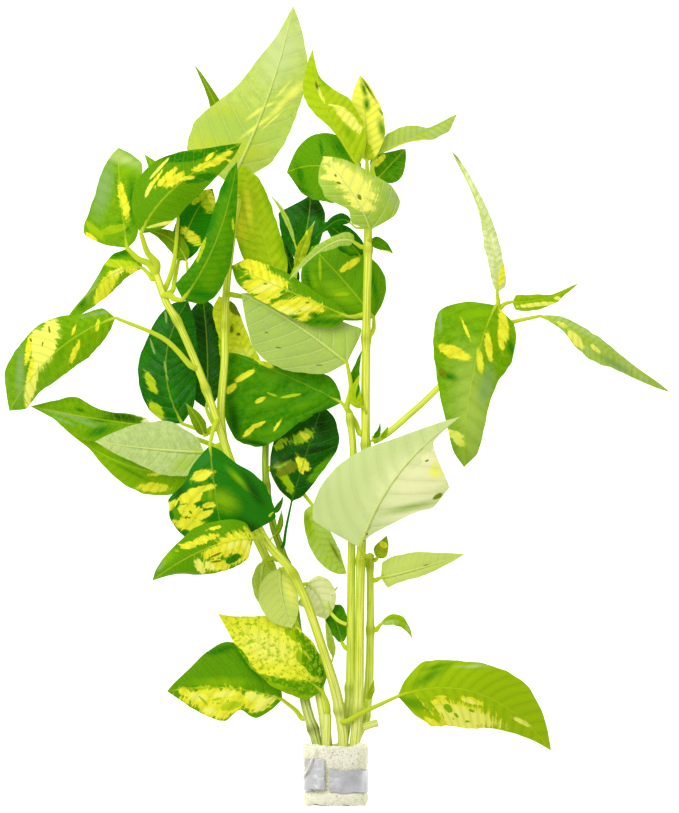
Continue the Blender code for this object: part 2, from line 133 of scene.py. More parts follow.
def put(tree, kind, inputs=None, **settings):
    """A shader node with its settings. Its inputs are values, or other nodes' outputs."""
    made = tree.nodes.new(kind)
    for key, value in settings.items():
        setattr(made, key, value)
    for key, value in (inputs or {}).items():
        if isinstance(value, bpy.types.NodeSocket):
            tree.links.new(value, made.inputs[key])
        else:
            made.inputs[key].default_value = value
    return made


def sums(tree, operation, *terms):
    """One step of arithmetic in a shader."""
    return put(tree, "ShaderNodeMath", dict(enumerate(terms)), operation=operation).outputs[0]


def spread(tree, value, low, high, start=0.0, end=1.0):
    """The value's stretch from low to high, turned smoothly into start to end."""
    made = put(tree, "ShaderNodeMapRange", {"Value": value, "From Min": low, "From Max": high,
                                           "To Min": start, "To Max": end},
               interpolation_type="SMOOTHSTEP")
    return made.outputs["Result"]


def tint(tree, share, first, second):
    """The first colour, with a share of the second one over it."""
    ends = [(*c, 1.0) if isinstance(c, tuple) else c for c in (first, second)]
    made = put(tree, "ShaderNodeMix", {0: share, 6: ends[0], 7: ends[1]}, data_type="RGBA")
    return made.outputs[2]


def clouds(tree, vector, scale, detail=2.0, roughness=0.5):
    """Soft noise from 0 to 1."""
    made = put(tree, "ShaderNodeTexNoise", {"Vector": vector, "Scale": scale, "Detail": detail,
                                           "Roughness": roughness})
    return made.outputs["Fac"]


def attribute(tree, name):
    """A value that the mesh carries at each of its points."""
    return put(tree, "ShaderNodeAttribute", attribute_name=name).outputs["Fac"]


def new_finish(name, roughness=0.4, specular=0.04):
    """A material with its tree and its shader."""
    material = bpy.data.materials.new(name)
    material.use_nodes = True
    tree = material.node_tree
    shader = tree.nodes["Principled BSDF"]
    shader.inputs["Roughness"].default_value = roughness
    shader.inputs["Specular IOR Level"].default_value = specular
    return material, tree, shader


def dress(tree, shader, colour, rough, height, strength, depth):
    """Gives the shader a colour, a roughness and fine bumps that change over the surface."""
    bump = put(tree, "ShaderNodeBump", {"Height": height, "Strength": strength,
                                        "Distance": depth})
    tree.links.new(colour, shader.inputs["Base Color"])
    tree.links.new(rough, shader.inputs["Roughness"])
    tree.links.new(bump.outputs[0], shader.inputs["Normal"])


CUT_BROWN = (0.30, 0.16, 0.03)
FOOT_PALE = (0.88, 0.90, 0.34)


def stem_finish(name, pale, deep, joint_colour):
    """Stem skin: a painted highlight, pale along the top that faces up and deeper down the sides,
    with fibres, darker joints, a pale foot and a brown cut."""
    material, tree, shader = new_finish(name)
    skin = put(tree, "ShaderNodeUVMap", uv_map="UVMap").outputs[0]
    fibre_place = put(tree, "ShaderNodeMapping", {"Vector": skin, "Scale": (14.0, 2.2, 1.0)})
    fibres = clouds(tree, fibre_place.outputs[0], 1.6, 4.0, 0.6)
    blush = clouds(tree, put(tree, "ShaderNodeTexCoord").outputs["Object"], 70.0, 2.0)
    # Painted highlight: paler where the skin faces up
    colour = tint(tree, spread(tree, attribute(tree, "painted_top_light"), 0.3, 1.0), deep, pale)
    colour = tint(tree, spread(tree, attribute(tree, "foot"), 0.0, 1.0, 0.0, 0.65), colour,
                  FOOT_PALE)
    colour = tint(tree, spread(tree, fibres, 0.46, 0.58, 0.0, 0.75), colour, deep)
    colour = tint(tree, spread(tree, blush, 0.58, 0.78, 0.0, 0.3), colour, deep)
    joint = sums(tree, "MULTIPLY", attribute(tree, "joint"), 0.6)
    colour = tint(tree, joint, colour, joint_colour)
    colour = tint(tree, attribute(tree, "cut"), colour, CUT_BROWN)
    dress(tree, shader, colour, spread(tree, fibres, 0.2, 0.8, 0.34, 0.5), fibres, 0.35, 0.0002)
    return material


# In each stem skin the first colour is the painted highlight on the top and the second the green
# of the sides, fibres and blush
green_stem_finish = stem_finish("green stem skin", (0.90, 0.94, 0.13), (0.44, 0.58, 0.008),
                                (0.34, 0.46, 0.01))
olive_stem_finish = stem_finish("olive stem skin", (0.44, 0.58, 0.04), (0.10, 0.22, 0.002),
                                (0.12, 0.15, 0.005))


stem_lines = []


def stem(node, points, radius, tip_radius, joints=(), finish=green_stem_finish):
    """One stem through its solid's points, in mm, from its cut end to its tip. joints are the
    shares of its length with a joint."""
    route = smooth_route(points, STEM_STEP)
    stem_lines.extend(route)
    length = STEM_STEP * (len(route) - 1)
    radii = []
    closeness = []
    for i in range(len(route)):
        along = i / (len(route) - 1)
        near = max([math.exp(-((along - j) * length / JOINT_REACH) ** 2) for j in joints] or [0])
        soaked = min(1.0, max(0.0, (SWELLING_TOP - route[i].y) / SWELLING_REACH))
        radii.append((radius + (tip_radius - radius) * along) * (1 + JOINT_SWELLING * near)
                     * (1 + FOOT_SWELLING * soaked))
        closeness.append(near)
    bm = bmesh.new()
    bm.loops.layers.uv.new("UVMap")
    joint = bm.verts.layers.float.new("joint")
    painted_top_light = bm.verts.layers.float.new("painted_top_light")
    cut = bm.verts.layers.float.new("cut")
    foot = bm.verts.layers.float.new("foot")
    add_tube(bm, route, radii, STEM_SIDES, STEM_RIB)
    bm.normal_update()
    for vert in bm.verts:
        nearest = min(range(len(route)), key=lambda i: (route[i] - vert.co).length_squared)
        vert[joint] = closeness[nearest]
        # Painted highlight: how far the skin faces up
        vert[painted_top_light] = max(0.0, vert.normal.z)
        vert[foot] = min(1.0, max(0.0, (FOOT_TOP - vert.co.y) / FOOT_REACH))
        vert[cut] = 1.0 if nearest == 0 and route[0].y <= CUT_END else 0.0
    name = node.replace("stem", "stalk").replace("branch", "stalk")
    add_piece(name, bm, finish, node)


stem("left_stem", [(-1.5, CUT_END, 12.9), (-0.5, -156, 12.9), (2, -144, 13.4), (1, -134, 15),
                   (-1.5, -121, 19), (-8, -100, 23), (-14, -83, 26), (-20.5, -70, 28),
                   (-32.5, -55, 29), (-45.5, -24.5, 31), (-52.5, -4, 34), (-59, 14, 36),
                   (-67.5, 34, 39), (-73, 43.5, 40), (-77.5, 56, 41)], STEM_RADIUS, 1.6,
     joints=(0.17, 0.42, 0.62, 0.78, 0.91))
stem("pale_stem", [(-4, CUT_END, 8), (-4.3, -156, 8), (-5, -144, 8.5), (-8.5, -121, 10),
                   (-16.5, -100, 10), (-26.5, -74.5, 10), (-38.5, -49, 13), (-47, -23.5, 19),
                   (-50, -4, 26), (-48.5, 19, 28), (-48, 44.5, 29), (-45.5, 70, 28),
                   (-42.5, 88, 26)], STEM_RADIUS, 1.6, joints=(0.2, 0.4, 0.6, 0.8, 0.95))
stem("olive_stem", [(-8.8, CUT_END, 8), (-8.8, -156, 8), (-9.4, -144, 8.8), (-14.5, -125.5, 8),
                    (-17, -100, 5), (-20.5, -74.5, 6), (-24, -63, 9), (-28, -51, 10),
                    (-31, -32, 11), (-31, -15, 11), (-29, 10.5, 11), (-24, 36, 14),
                    (-20.5, 50, 17)], STEM_RADIUS, 1.2, joints=(0.15, 0.46, 0.62, 0.8),
     finish=olive_stem_finish)
stem("right_stem", [(3.2, CUT_END, 12.9), (4.2, -156, 12.9), (7, -144, 13.4), (8.5, -121, 18),
                    (9, -91.5, 22), (9.5, -66, 26), (11, -40.5, 29), (11.5, -19, 32),
                    (11.5, 10.5, 36), (12, 44.5, 40), (12.5, 70, 43), (12, 93, 44)],
     STEM_RADIUS, 1.8, joints=(0.16, 0.4, 0.59, 0.76, 0.9))
stem("middle_stem", [(0.7, CUT_END, 8), (0.9, -156, 8), (2, -144, 8.5), (4, -131, 10.5),
                     (5, -121, 12.5), (5.2, -100, 17), (5.5, -66, 22), (6, -40.5, 26),
                     (6.2, -19, 31), (4.5, -3, 35)], STEM_RADIUS, 1.5, joints=(0.3, 0.7, 0.98))
stem("outer_stem", [(5.5, CUT_END, 8), (5.6, -156, 8), (7, -144, 8), (11, -134, 8.5),
                    (12.8, -121, 10), (13.5, -100, 13), (13.5, -78.5, 18), (13.3, -64, 22)],
     STEM_RADIUS, 1.5, joints=(0.36, 0.7, 0.96))
stem("short_stem", [(-6.2, CUT_END, 12.9), (-5.8, -156, 12.9), (-5.2, -144, 13.4),
                    (-4.8, -132, 13)], STEM_RADIUS, 1.6)
stem("side_branch", [(14.5, -15, 32.5), (20, -12.5, 32), (28.5, -5.5, 29), (42, 7, 24),
                     (56, 23.5, 21), (67, 39.5, 21)], 1.5, 1.2, joints=(0.02, 0.98))
stem("broken_stalk", [(10.5, -137.5, 13.5), (13, -136.5, 14), (16.8, -135.6, 14)], 1.5, 1.4)
stem("small_leaf_stalk", [(3.5, -93.5, 19), (0, -92, 18.5), (-3.5, -88.5, 17)], 0.9, 0.8)


# Leaves
# Thin, slightly quilted blades on short stalks, dark to light green with yellow patches above and
# pale below. The midrib stands out below and side veins bow towards the tip. Painted shade darkens
# the skin beside the side veins, and some patches are a painted sheen. Their edges and patches are
# given at the pixels of the photograph that show them.

MM_PER_PIXEL = 0.425
PHOTO_MIDDLE_X = 338.5
PHOTO_MIDDLE_Y = 405.0
UP = Vector((0.0, 0.0, 1.0))
BLADE_THICKNESS = 0.32
BLADE_MESH = 0.8
BLADE_UV = 200.0
LEAST_ROWS = 16
LEAST_COLUMNS = 4
NECK_WIDTH = 0.5
NECK_TAPER = 0.42
BEND_BACK = 0.12
STALK_RADIUS = 0.95
STALK_SIDES = 10
STALK_STEP = 1.0
FOOT_FLARE = 1.4
STALK_TAPER = 0.65
RIB_STEPS = 25
RIB_SHARE = 0.68
RIB_END = 0.07
RIB_BELOW = -0.95
RIB_ABOVE = 0.45
EDGE_SHARES = (0.07, 0.2, 0.35, 0.5, 0.65, 0.8, 0.92)
FIRST_SHARE = 0.02
LAST_SHARE = 0.97
BASE_WIDTH = 0.3
TIP_WIDTH = 0.1
LEAST_WIDTH = 0.4
NEAR_BASE = 0.02
BASE_FLARE = 1.6
MIDRIB_STEPS = 200
EDGE_WOBBLE = 0.45
EDGE_GRAIN = 3.8
VEIN_SHARE = 0.33
VEIN_SPACINGS = (3.2, 9.0)
VEIN_WIDTH = 2.2
VEIN_SHIFT = 0.4
VEIN_LEAN = 0.5
VEIN_BOW = 0.02
VEIN_DEPTH = 0.4
DENT_DEPTH = 0.7
DENT_SIZE = 13.0
FOOT_SEARCH = 9.0
FOOT_DEPTH = 1.3


def through(first, middle, last, t):
    """Point and direction on the parabola that meets the middle point halfway."""
    control = 2 * middle - (first + last) / 2
    place = first * (1 - t) ** 2 + control * 2 * t * (1 - t) + last * t ** 2
    heading = (control - first) * (1 - t) + (last - control) * t
    return place, heading.normalized()


def from_photo(x, y):
    """Where a pixel of the photograph lies on the part, in mm."""
    return (x - PHOTO_MIDDLE_X) * MM_PER_PIXEL, (PHOTO_MIDDLE_Y - y) * MM_PER_PIXEL


def smooth_line(knots, t, uneven=False):
    """The value at t on a line through (place, value) knots that never swings past them. On
    an uneven line, the stretch that is shorter bends each knot more."""
    gaps = [b[0] - a[0] for a, b in zip(knots, knots[1:])]
    slopes = [(b[1] - a[1]) / (b[0] - a[0]) for a, b in zip(knots, knots[1:])]
    bends = [slopes[0]]
    for a, b, before, after in zip(slopes, slopes[1:], gaps, gaps[1:]):
        near, far = (2 * after + before, after + 2 * before) if uneven else (1, 1)
        bends.append((near + far) * a * b / (near * b + far * a) if a * b > 0 else 0.0)
    bends.append(slopes[-1])
    i = sum(place <= t for place, _ in knots[1:-1])
    (low, first), (_, second) = knots[i], knots[i + 1]
    gap = gaps[i]
    s = (t - low) / gap
    return ((1 + 2 * s) * (1 - s) ** 2 * first + s * (1 - s) ** 2 * gap * bends[i]
            + s ** 2 * (3 - 2 * s) * second + s ** 2 * (s - 1) * gap * bends[i + 1])


def half_width(along, widest, point):
    """The solid's outline, from 0 at the base over 1 at the widest place to 0 at the tip."""
    base_power = point * widest / (1 - widest)
    return (along / widest) ** base_power * ((1 - along) / (1 - widest)) ** point


def beside(spot, midrib):
    """The share of the midrib that a spot lies beside, and how far it lies to its left."""
    def astray(share):
        place, heading = through(*midrib, share)
        return abs((spot - place).dot(heading))

    before, after = -MIDRIB_STEPS // 5, MIDRIB_STEPS * 6 // 5
    share = min((step / MIDRIB_STEPS for step in range(before, after + 1)), key=astray)
    place, heading = through(*midrib, share)
    return share, heading.cross(spot - place)


def half_widths(most, widest, point, edge, turned, wider, midrib):
    """Half widths of one side at EDGE_SHARES, to 0.1 mm. most is the largest one and widest
    the share where it lies, as in the solid, or most is a tuple of them all. edge holds the
    pixels where the photograph shows the leaf's edge, and wider is added to them."""
    if isinstance(most, tuple):
        return most
    widths = [most * half_width(share, widest, point) for share in EDGE_SHARES]
    if edge:
        knots = {0.0: BASE_WIDTH}
        for pixel in edge:
            share, width = beside(Vector(from_photo(*pixel)), midrib)
            share, width = max(FIRST_SHARE, round(share, 2)), round(turned * width, 1)
            if share < LAST_SHARE:
                knots[share] = max(width, knots.get(share, width))
        knots[1.0] = TIP_WIDTH
        line = sorted(knots.items())
        for i, share in enumerate(EDGE_SHARES):
            width = smooth_line(line, share, uneven=True)
            if share < line[1][0] - NEAR_BASE:
                width = (width + min(widths[i], width * BASE_FLARE)) / 2
            widths[i] = max(width, LEAST_WIDTH)
    return [round(round(width, 1) + wider, 1) for width in widths]


def vein_groove(across, along, spacing):
    """1 in the middle of a side vein and 0 between the veins, for places in mm on the leaf."""
    reach = abs(across)
    row = (along - VEIN_LEAN * reach - VEIN_BOW * reach ** 2) / spacing
    if across > 0:
        row += VEIN_SHIFT
    distance = abs(row - math.floor(row) - 0.5) * spacing
    return max(0.0, 1 - distance / VEIN_WIDTH) ** 2


def make_group(name, inputs, outputs):
    """An empty node group with named inputs and outputs."""
    group = bpy.data.node_groups.new(name, "ShaderNodeTree")
    for label, kind in inputs:
        group.interface.new_socket(label, in_out="INPUT", socket_type=kind)
    for label in outputs:
        group.interface.new_socket(label, in_out="OUTPUT", socket_type="NodeSocketFloat")
    return group, group.nodes.new("NodeGroupInput").outputs, group.nodes.new("NodeGroupOutput")


def make_venation():
    """Masks in a leaf's own coordinates: midrib, side veins, the raised skin between them, the
    fine net, streaks along the veins, mottling and specks."""
    group, given, result = make_group(
        "leaf venation", [("Leaf", "NodeSocketVector"), ("Seed", "NodeSocketFloat"),
                          ("Spacing", "NodeSocketFloat")],
        ["Midrib", "Veins", "Quilt", "Net", "Streaks", "Mottle", "Specks"])
    part = put(group, "ShaderNodeSeparateXYZ", {0: given["Leaf"]}).outputs
    across = sums(group, "MULTIPLY", sums(group, "SUBTRACT", part["X"], 0.5), BLADE_UV)
    along = sums(group, "MULTIPLY", part["Y"], BLADE_UV)
    reach = sums(group, "ABSOLUTE", across)
    lean = sums(group, "MULTIPLY", reach, VEIN_LEAN)
    bow = sums(group, "MULTIPLY", sums(group, "MULTIPLY", reach, reach), VEIN_BOW)
    row = sums(group, "SUBTRACT", sums(group, "SUBTRACT", along, lean), bow)
    row = sums(group, "DIVIDE", row, given["Spacing"])
    shift = sums(group, "MULTIPLY", sums(group, "GREATER_THAN", across, 0.0), VEIN_SHIFT)
    row = sums(group, "ADD", row, shift)
    place = put(group, "ShaderNodeCombineXYZ", {0: across, 1: along, 2: given["Seed"]})
    wander = clouds(group, place.outputs[0], 0.12)
    row = sums(group, "ADD", row, sums(group, "MULTIPLY", wander, 0.12))
    apart = sums(group, "ABSOLUTE", sums(group, "SUBTRACT", sums(group, "FRACT", row), 0.56))
    veins = spread(group, sums(group, "MULTIPLY", apart, given["Spacing"]), 0.0, 0.5, 1.0, 0.0)
    quilt = spread(group, apart, 0.02, 0.36)
    midrib = spread(group, reach, 0.1, 0.55, 1.0, 0.0)
    streak_place = put(group, "ShaderNodeCombineXYZ", {
        0: sums(group, "MULTIPLY", row, 3.2), 1: sums(group, "MULTIPLY", reach, 0.13),
        2: sums(group, "ADD", given["Seed"], shift)})
    streaks = clouds(group, streak_place.outputs[0], 1.0, 3.0, 0.6)
    mottle = clouds(group, place.outputs[0], 0.4, 6.0, 0.72)
    specks = spread(group, clouds(group, place.outputs[0], 0.6, 3.0, 0.6), 0.53, 0.6)
    cells = put(group, "ShaderNodeTexVoronoi", {"Vector": place.outputs[0], "Scale": 0.75},
                feature="DISTANCE_TO_EDGE")
    net = spread(group, cells.outputs["Distance"], 0.0, 0.12, 1.0, 0.0)
    for label, value in (("Midrib", midrib), ("Veins", veins), ("Quilt", quilt), ("Net", net),
                         ("Streaks", streaks), ("Mottle", mottle), ("Specks", specks)):
        group.links.new(value, result.inputs[label])
    return group


def make_patch():
    """Mask of one patch. Place is 0 in its middle and 1 on its outline, which Ragged breaks up
    along the veins, Soft fades and Halo rings with a fainter share."""
    group, given, result = make_group(
        "leaf patch", [("Place", "NodeSocketVector"), ("Streaks", "NodeSocketFloat"),
                       ("Mottle", "NodeSocketFloat"), ("Ragged", "NodeSocketFloat"),
                       ("Soft", "NodeSocketFloat"), ("Halo", "NodeSocketFloat")], ["Mask"])
    distance = put(group, "ShaderNodeVectorMath", {0: given["Place"]}, operation="LENGTH")
    grain = sums(group, "ADD", given["Streaks"], given["Mottle"])
    ragged = sums(group, "MULTIPLY", sums(group, "SUBTRACT", grain, 1.0), given["Ragged"])
    inside = sums(group, "ADD", sums(group, "SUBTRACT", 1.0, distance.outputs["Value"]), ragged)
    core = sums(group, "ADD", sums(group, "DIVIDE", inside, given["Soft"]), 0.4)
    core = spread(group, core, 0.0, 1.0, 0.0, sums(group, "SUBTRACT", 1.0, given["Halo"]))
    halo = spread(group, inside, -0.3, 0.1, 0.0, given["Halo"])
    group.links.new(sums(group, "ADD", core, halo), result.inputs["Mask"])
    return group


venation = make_venation()
patch = make_patch()

DARKEST = (0.004, 0.038, 0.001)
DEEP_GREEN = (0.006, 0.092, 0.001)
DARK_GREEN = (0.014, 0.205, 0.001)
GREEN = (0.112, 0.335, 0.001)
BRIGHT_GREEN = (0.235, 0.480, 0.001)
# Painted sheen: grey-green standing in for light glancing off the leaf skin; on a few leaves it
# also marks a grey folded margin
PAINTED_SHEEN_GREEN = (0.260, 0.450, 0.110)
LIME_GREEN = (0.360, 0.560, 0.003)
LIME = (0.500, 0.660, 0.012)
PALE_GREEN = (0.490, 0.660, 0.170)
YELLOW_GREEN = (0.600, 0.660, 0.010)
YELLOW = (0.930, 0.930, 0.042)
PALE_YELLOW = (0.960, 0.960, 0.150)
CREAM = (0.920, 0.930, 0.480)
GOLD = (0.760, 0.580, 0.010)
OLIVE = (0.185, 0.235, 0.004)
BRIGHT_UNDER = (0.330, 0.560, 0.012)
LIME_UNDER = (0.430, 0.610, 0.085)
PALE_UNDER = (0.620, 0.745, 0.280)
GREY_UNDER = (0.385, 0.535, 0.125)
FRESH_UNDER = (0.640, 0.760, 0.140)
STALK_GREEN = (0.560, 0.680, 0.030)
UNDER_VEIN = (0.770, 0.850, 0.330)
# Painted shade: the colour the skin is multiplied towards in the hollows beside the side veins
PAINTED_VEIN_SHADE = (0.62, 0.72, 0.55, 1.0)
PATCH_DEPTH = 1e6
PATCH_END = 0.6
RAGGED_FROM = 0.7


def stroke(x1, y1, x2, y2, half):
    """The place of a patch that lies on the photograph like a stroke of the brush, half a
    width of so many pixels on either side of a line from one pixel to another."""
    first, last = from_photo(x1, y1), from_photo(x2, y2)
    turn = math.degrees(math.atan2(last[1] - first[1], last[0] - first[0]))
    long_half = math.dist(first, last) / 2 + half * MM_PER_PIXEL * PATCH_END
    return {"Location": (*(round((a + b) / 2, 1) * MM for a, b in zip(first, last)), 0),
            "Rotation": (0, 0, math.radians(round(turn))),
            "Scale": (round(long_half, 1) * MM, round(half * MM_PER_PIXEL, 1) * MM,
                      PATCH_DEPTH)}


def patches(tree, place, strokes, masks, ragged):
    """The joint mask of the patches that lie along the strokes."""
    joined = None
    soft, halo = (0.15, 0.4) if ragged > RAGGED_FROM else (1.6, 0.0)
    for ends in strokes:
        local = put(tree, "ShaderNodeMapping", {"Vector": place, **stroke(*ends)},
                    vector_type="TEXTURE")
        one = put(tree, "ShaderNodeGroup", node_tree=patch)
        for label, value in (("Place", local.outputs[0]), ("Streaks", masks["Streaks"]),
                             ("Mottle", masks["Mottle"])):
            tree.links.new(value, one.inputs[label])
        for label, value in (("Ragged", ragged), ("Soft", soft), ("Halo", halo)):
            one.inputs[label].default_value = value
        joined = one.outputs[0] if joined is None else sums(tree, "MAXIMUM", joined,
                                                            one.outputs[0])
    return joined


def leaf_finish(name, tones, under, zones, specks, gloss, seed, flipped, stalk_colour, spacing):
    """Leaf skin: two tones of green above and two below, painted with patches on the side that
    faces the camera, their traces on the other side, painted shade beside the side veins, lighter
    veins and a pale stalk."""
    material, tree, shader = new_finish(name, specular=0.03 if gloss > 0.3 else 0.09)
    leaf_uv = put(tree, "ShaderNodeUVMap", uv_map="UVMap").outputs[0]
    place = put(tree, "ShaderNodeTexCoord").outputs["Object"]
    veins = put(tree, "ShaderNodeGroup", node_tree=venation)
    tree.links.new(leaf_uv, veins.inputs["Leaf"])
    veins.inputs["Seed"].default_value = seed
    veins.inputs["Spacing"].default_value = spacing
    top_vein = LIME if sum(tones[0]) > 0.3 else GREEN
    masks = veins.outputs
    cloudy = spread(tree, masks["Mottle"], 0.25, 0.75)
    streaky = spread(tree, masks["Streaks"], 0.5, 0.75, 0.0, 0.4)
    golden = spread(tree, masks["Mottle"], 0.44, 0.62, 0.0, 0.45)
    sides = []
    for tone, vein_colour, strength, shade, painted in (
            (tones, top_vein, 0.16, 0.3, not flipped), (under, UNDER_VEIN, 0.4, 0.18, flipped)):
        side = tint(tree, streaky, tint(tree, cloudy, *tone), tone[1])
        for zone_colour, ragged, strokes in zones:
            mask = patches(tree, place, strokes, masks, ragged)
            if not painted:
                mask = sums(tree, "MULTIPLY", mask, 0.5)
            if zone_colour == YELLOW:
                zone_colour = tint(tree, golden, YELLOW, GOLD)
            side = tint(tree, mask, side, zone_colour)
        if specks:
            side = tint(tree, sums(tree, "MULTIPLY", masks["Specks"], 0.8), side, specks)
        # Painted shade: the skin is darkened in the hollows beside the side veins, more on the
        # upper side
        painted_valley_shade = sums(tree, "MULTIPLY", sums(tree, "SUBTRACT", 1.0, masks["Quilt"]), shade)
        side = put(tree, "ShaderNodeMix", {0: painted_valley_shade, 6: side, 7: PAINTED_VEIN_SHADE}, data_type="RGBA",
                   blend_type="MULTIPLY").outputs[2]
        vein_mask = sums(tree, "MULTIPLY", masks["Veins"], strength)
        side = tint(tree, sums(tree, "MULTIPLY", masks["Net"], 0.1), side, vein_colour)
        side = tint(tree, vein_mask, side, vein_colour)
        rib_share = 0.3 if painted and not flipped else 0.6
        side = tint(tree, sums(tree, "MULTIPLY", masks["Midrib"], rib_share), side, vein_colour)
        sides.append(side)
    colour = tint(tree, attribute(tree, "underside"), *sides)
    colour = tint(tree, attribute(tree, "stalk"), colour, stalk_colour)
    rough = spread(tree, masks["Mottle"], 0.2, 0.8, gloss - 0.06, gloss + 0.12)
    height = sums(tree, "ADD", sums(tree, "MULTIPLY", masks["Veins"], -0.5),
                  sums(tree, "MULTIPLY", masks["Mottle"], 0.5))
    height = sums(tree, "ADD", height, sums(tree, "MULTIPLY", masks["Net"], -0.15))
    dress(tree, shader, colour, rough, height, 0.6, 0.0003)
    return material


def thicken(bm, faces, thickness):
    """Turns an open sheet into one of a real thickness, with its rim closed. Gives the points
    of its lower side."""
    shell = bmesh.ops.extrude_face_region(bm, geom=faces, use_keep_orig=True)["geom"]
    bm.normal_update()
    lower_side = [item for item in shell if isinstance(item, bmesh.types.BMVert)]
    for vert in lower_side:
        vert.co -= vert.normal * thickness
    return lower_side


def dent(spot, t):
    """How far a shallow dent or bump lifts a spot of the blade, between its base and tip."""
    return DENT_DEPTH * noise.noise(spot / DENT_SIZE) * min(1.0, 4 * t, 4 * (1 - t))


def add_blade(bm, midrib, left, right, rise, bulge, waves, spacing):
    """The blade, shaped from a grid along its midrib and given its thickness. Its lower side
    is marked as underside, and its UV is its own length and width."""
    uv = bm.loops.layers.uv.active
    underside = bm.verts.layers.float["underside"]
    base, mid, tip = midrib
    length = (mid - base).length + (tip - mid).length
    rows = max(LEAST_ROWS, round(length / BLADE_MESH))
    columns = 2 * max(LEAST_COLUMNS, round(max(*left, *right) / BLADE_MESH))
    lines = [[(0.0, 0.0), *zip(EDGE_SHARES, widths), (1.0, 0.0)] for widths in (left, right)]
    phase = (base.x * 0.37 + base.y * 0.23) % (2 * math.pi)
    places = {}
    for vert in bmesh.ops.create_grid(bm, x_segments=columns, y_segments=rows, size=0.5,
                                      calc_uvs=True)["verts"]:
        across = -2 * vert.co.x
        reach = abs(across)
        even = vert.co.y + 0.5
        t = min(1.0, max(0.0, even - 0.1 * math.sin(2 * math.pi * even)))
        place, heading = through(*midrib, t)
        side = Vector((-heading.y, heading.x, 0.0)).normalized()
        is_left = across > 0
        width = smooth_line(lines[0] if is_left else lines[1], t)
        share = width / max(left if is_left else right)
        grain = Vector((t * length / EDGE_GRAIN, 7.0 if is_left else -7.0, phase))
        width += EDGE_WOBBLE * noise.noise(grain) * share
        width = max(width, NECK_WIDTH - NECK_TAPER * t)
        lift = (rise[0] if is_left else rise[1]) * share * reach
        lift += bulge * share * 4 * reach * (1 - reach)
        ripple = math.sin(2 * math.pi * waves[1] * t + phase + (2.0 if is_left else 0.0))
        lift += waves[0] * ripple * reach ** 2 * share
        distance = width * across
        places[vert] = (0.5 - distance / BLADE_UV, t * length / BLADE_UV)
        flatness = min(1.0, width / 4) * min(1.0, 4 * (1 - reach))
        lift -= VEIN_DEPTH * vein_groove(-distance, t * length, spacing) * flatness
        spot = place + side * distance
        lift += dent(spot, t)
        vert.co = spot + UP * lift
    for face in bm.faces:
        for loop in face.loops:
            loop[uv].uv = places[loop.vert]
    for vert in thicken(bm, bm.faces[:], BLADE_THICKNESS):
        vert[underside] = 1.0
    bmesh.ops.recalc_face_normals(bm, faces=bm.faces)
    return length


def add_stalk(bm, start, midrib, first_heading, flipped, thick):
    """The stalk, which runs from inside its stem to the blade and on along its midrib."""
    base = midrib[0]
    bend = (base + start) / 2 - first_heading * (base - start).length * BEND_BACK
    _, foot_heading = through(start, bend, base, 0.0)
    foot = min(stem_lines, key=lambda point: (point - start).length_squared)
    if (foot - start).length > FOOT_SEARCH:
        foot = start - foot_heading * FOOT_DEPTH
    halfway = through(start, bend, base, 0.5)[0]
    route = smooth_route([foot, start, halfway, base], STALK_STEP)[:-1] + [base]
    radii = [STALK_RADIUS * thick * (FOOT_FLARE - STALK_TAPER * i / (len(route) - 1))
             for i in range(len(route))]
    rib_side = RIB_ABOVE if flipped else RIB_BELOW
    for i in range(1, RIB_STEPS):
        t = i / RIB_STEPS
        place, heading = through(*midrib, t)
        radius = STALK_RADIUS * thick * (RIB_SHARE * (1 - t) ** 0.9 + RIB_END)
        normal = heading.cross(Vector((heading.y, -heading.x, 0.0))).normalized()
        if normal.z < 0:
            normal.negate()
        route.append(place + normal * rib_side * radius * min(1.0, t * 12) + UP * dent(place, t))
        radii.append(radius)
    add_tube(bm, route, radii, STALK_SIDES)


def leaf(node, start, base, mid, tip, left, right, tones, rise=(0.0, 0.0), bulge=0.6,
         widest=(0.38, 0.38), point=(1.15, 1.15), edges=((), ()), wider=(0.0, 0.0),
         waves=(0.3, 2.0), under=(PALE_UNDER, GREY_UNDER), zones=(), specks=None, gloss=0.4,
         flipped=False, stalk=STALK_GREEN, thick=1.0, slot=None):
    """One leaf with its stalk. The first values are those of its solid, in mm: where the stalk
    starts, where the blade begins, its middle and its tip. left and right, widest, point,
    edges and wider give its half widths, as half_widths says. waves are the height and number
    of ripples at the edge. zones are its patches: a colour, how ragged their outlines are, and
    their strokes. A flipped leaf lies with its underside up. thick is the thickness of its
    stalk beside the others."""
    start, base, mid, tip = Vector(start), Vector(base), Vector(mid), Vector(tip)
    flat = [spot.to_2d() for spot in (base, mid, tip)]
    left = half_widths(left, widest[0], point[0], edges[0], 1, wider[0], flat)
    right = half_widths(right, widest[1], point[1], edges[1], -1, wider[1], flat)
    spacing = min(VEIN_SPACINGS[1], max(VEIN_SPACINGS[0], VEIN_SHARE * max(*left, *right)))
    bm = bmesh.new()
    uv = bm.loops.layers.uv.new("UVMap")
    underside = bm.verts.layers.float.new("underside")
    stalk_share = bm.verts.layers.float.new("stalk")
    length = add_blade(bm, (base, mid, tip), left, right, rise, bulge, waves, spacing)
    if flipped:
        for vert in bm.verts:
            vert[underside] = 1.0 - vert[underside]
    before = set(bm.verts)
    _, first_heading = through(base, mid, tip, 0.0)
    add_stalk(bm, start, (base, mid, tip), first_heading, flipped, thick)
    bm.normal_update()
    for vert in bm.verts:
        if vert not in before:
            past = (vert.co - base).dot(first_heading) / length
            vert[stalk_share] = min(1.0, max(0.25, 1.0 - 6 * past))
            vert[underside] = 1.0 if flipped or vert.normal.z < 0 else 0.0
            for loop in vert.link_loops:
                loop[uv].uv = (0.5, max(0.0, past) * length / BLADE_UV)
    finish = leaf_finish(node.replace("_", " ") + " skin", tones, under, zones, specks,
                         gloss, float(sum(map(ord, node)) % 97), flipped, stalk, spacing)
    add_piece(node.replace("leaf", "blade"), bm, finish, node)


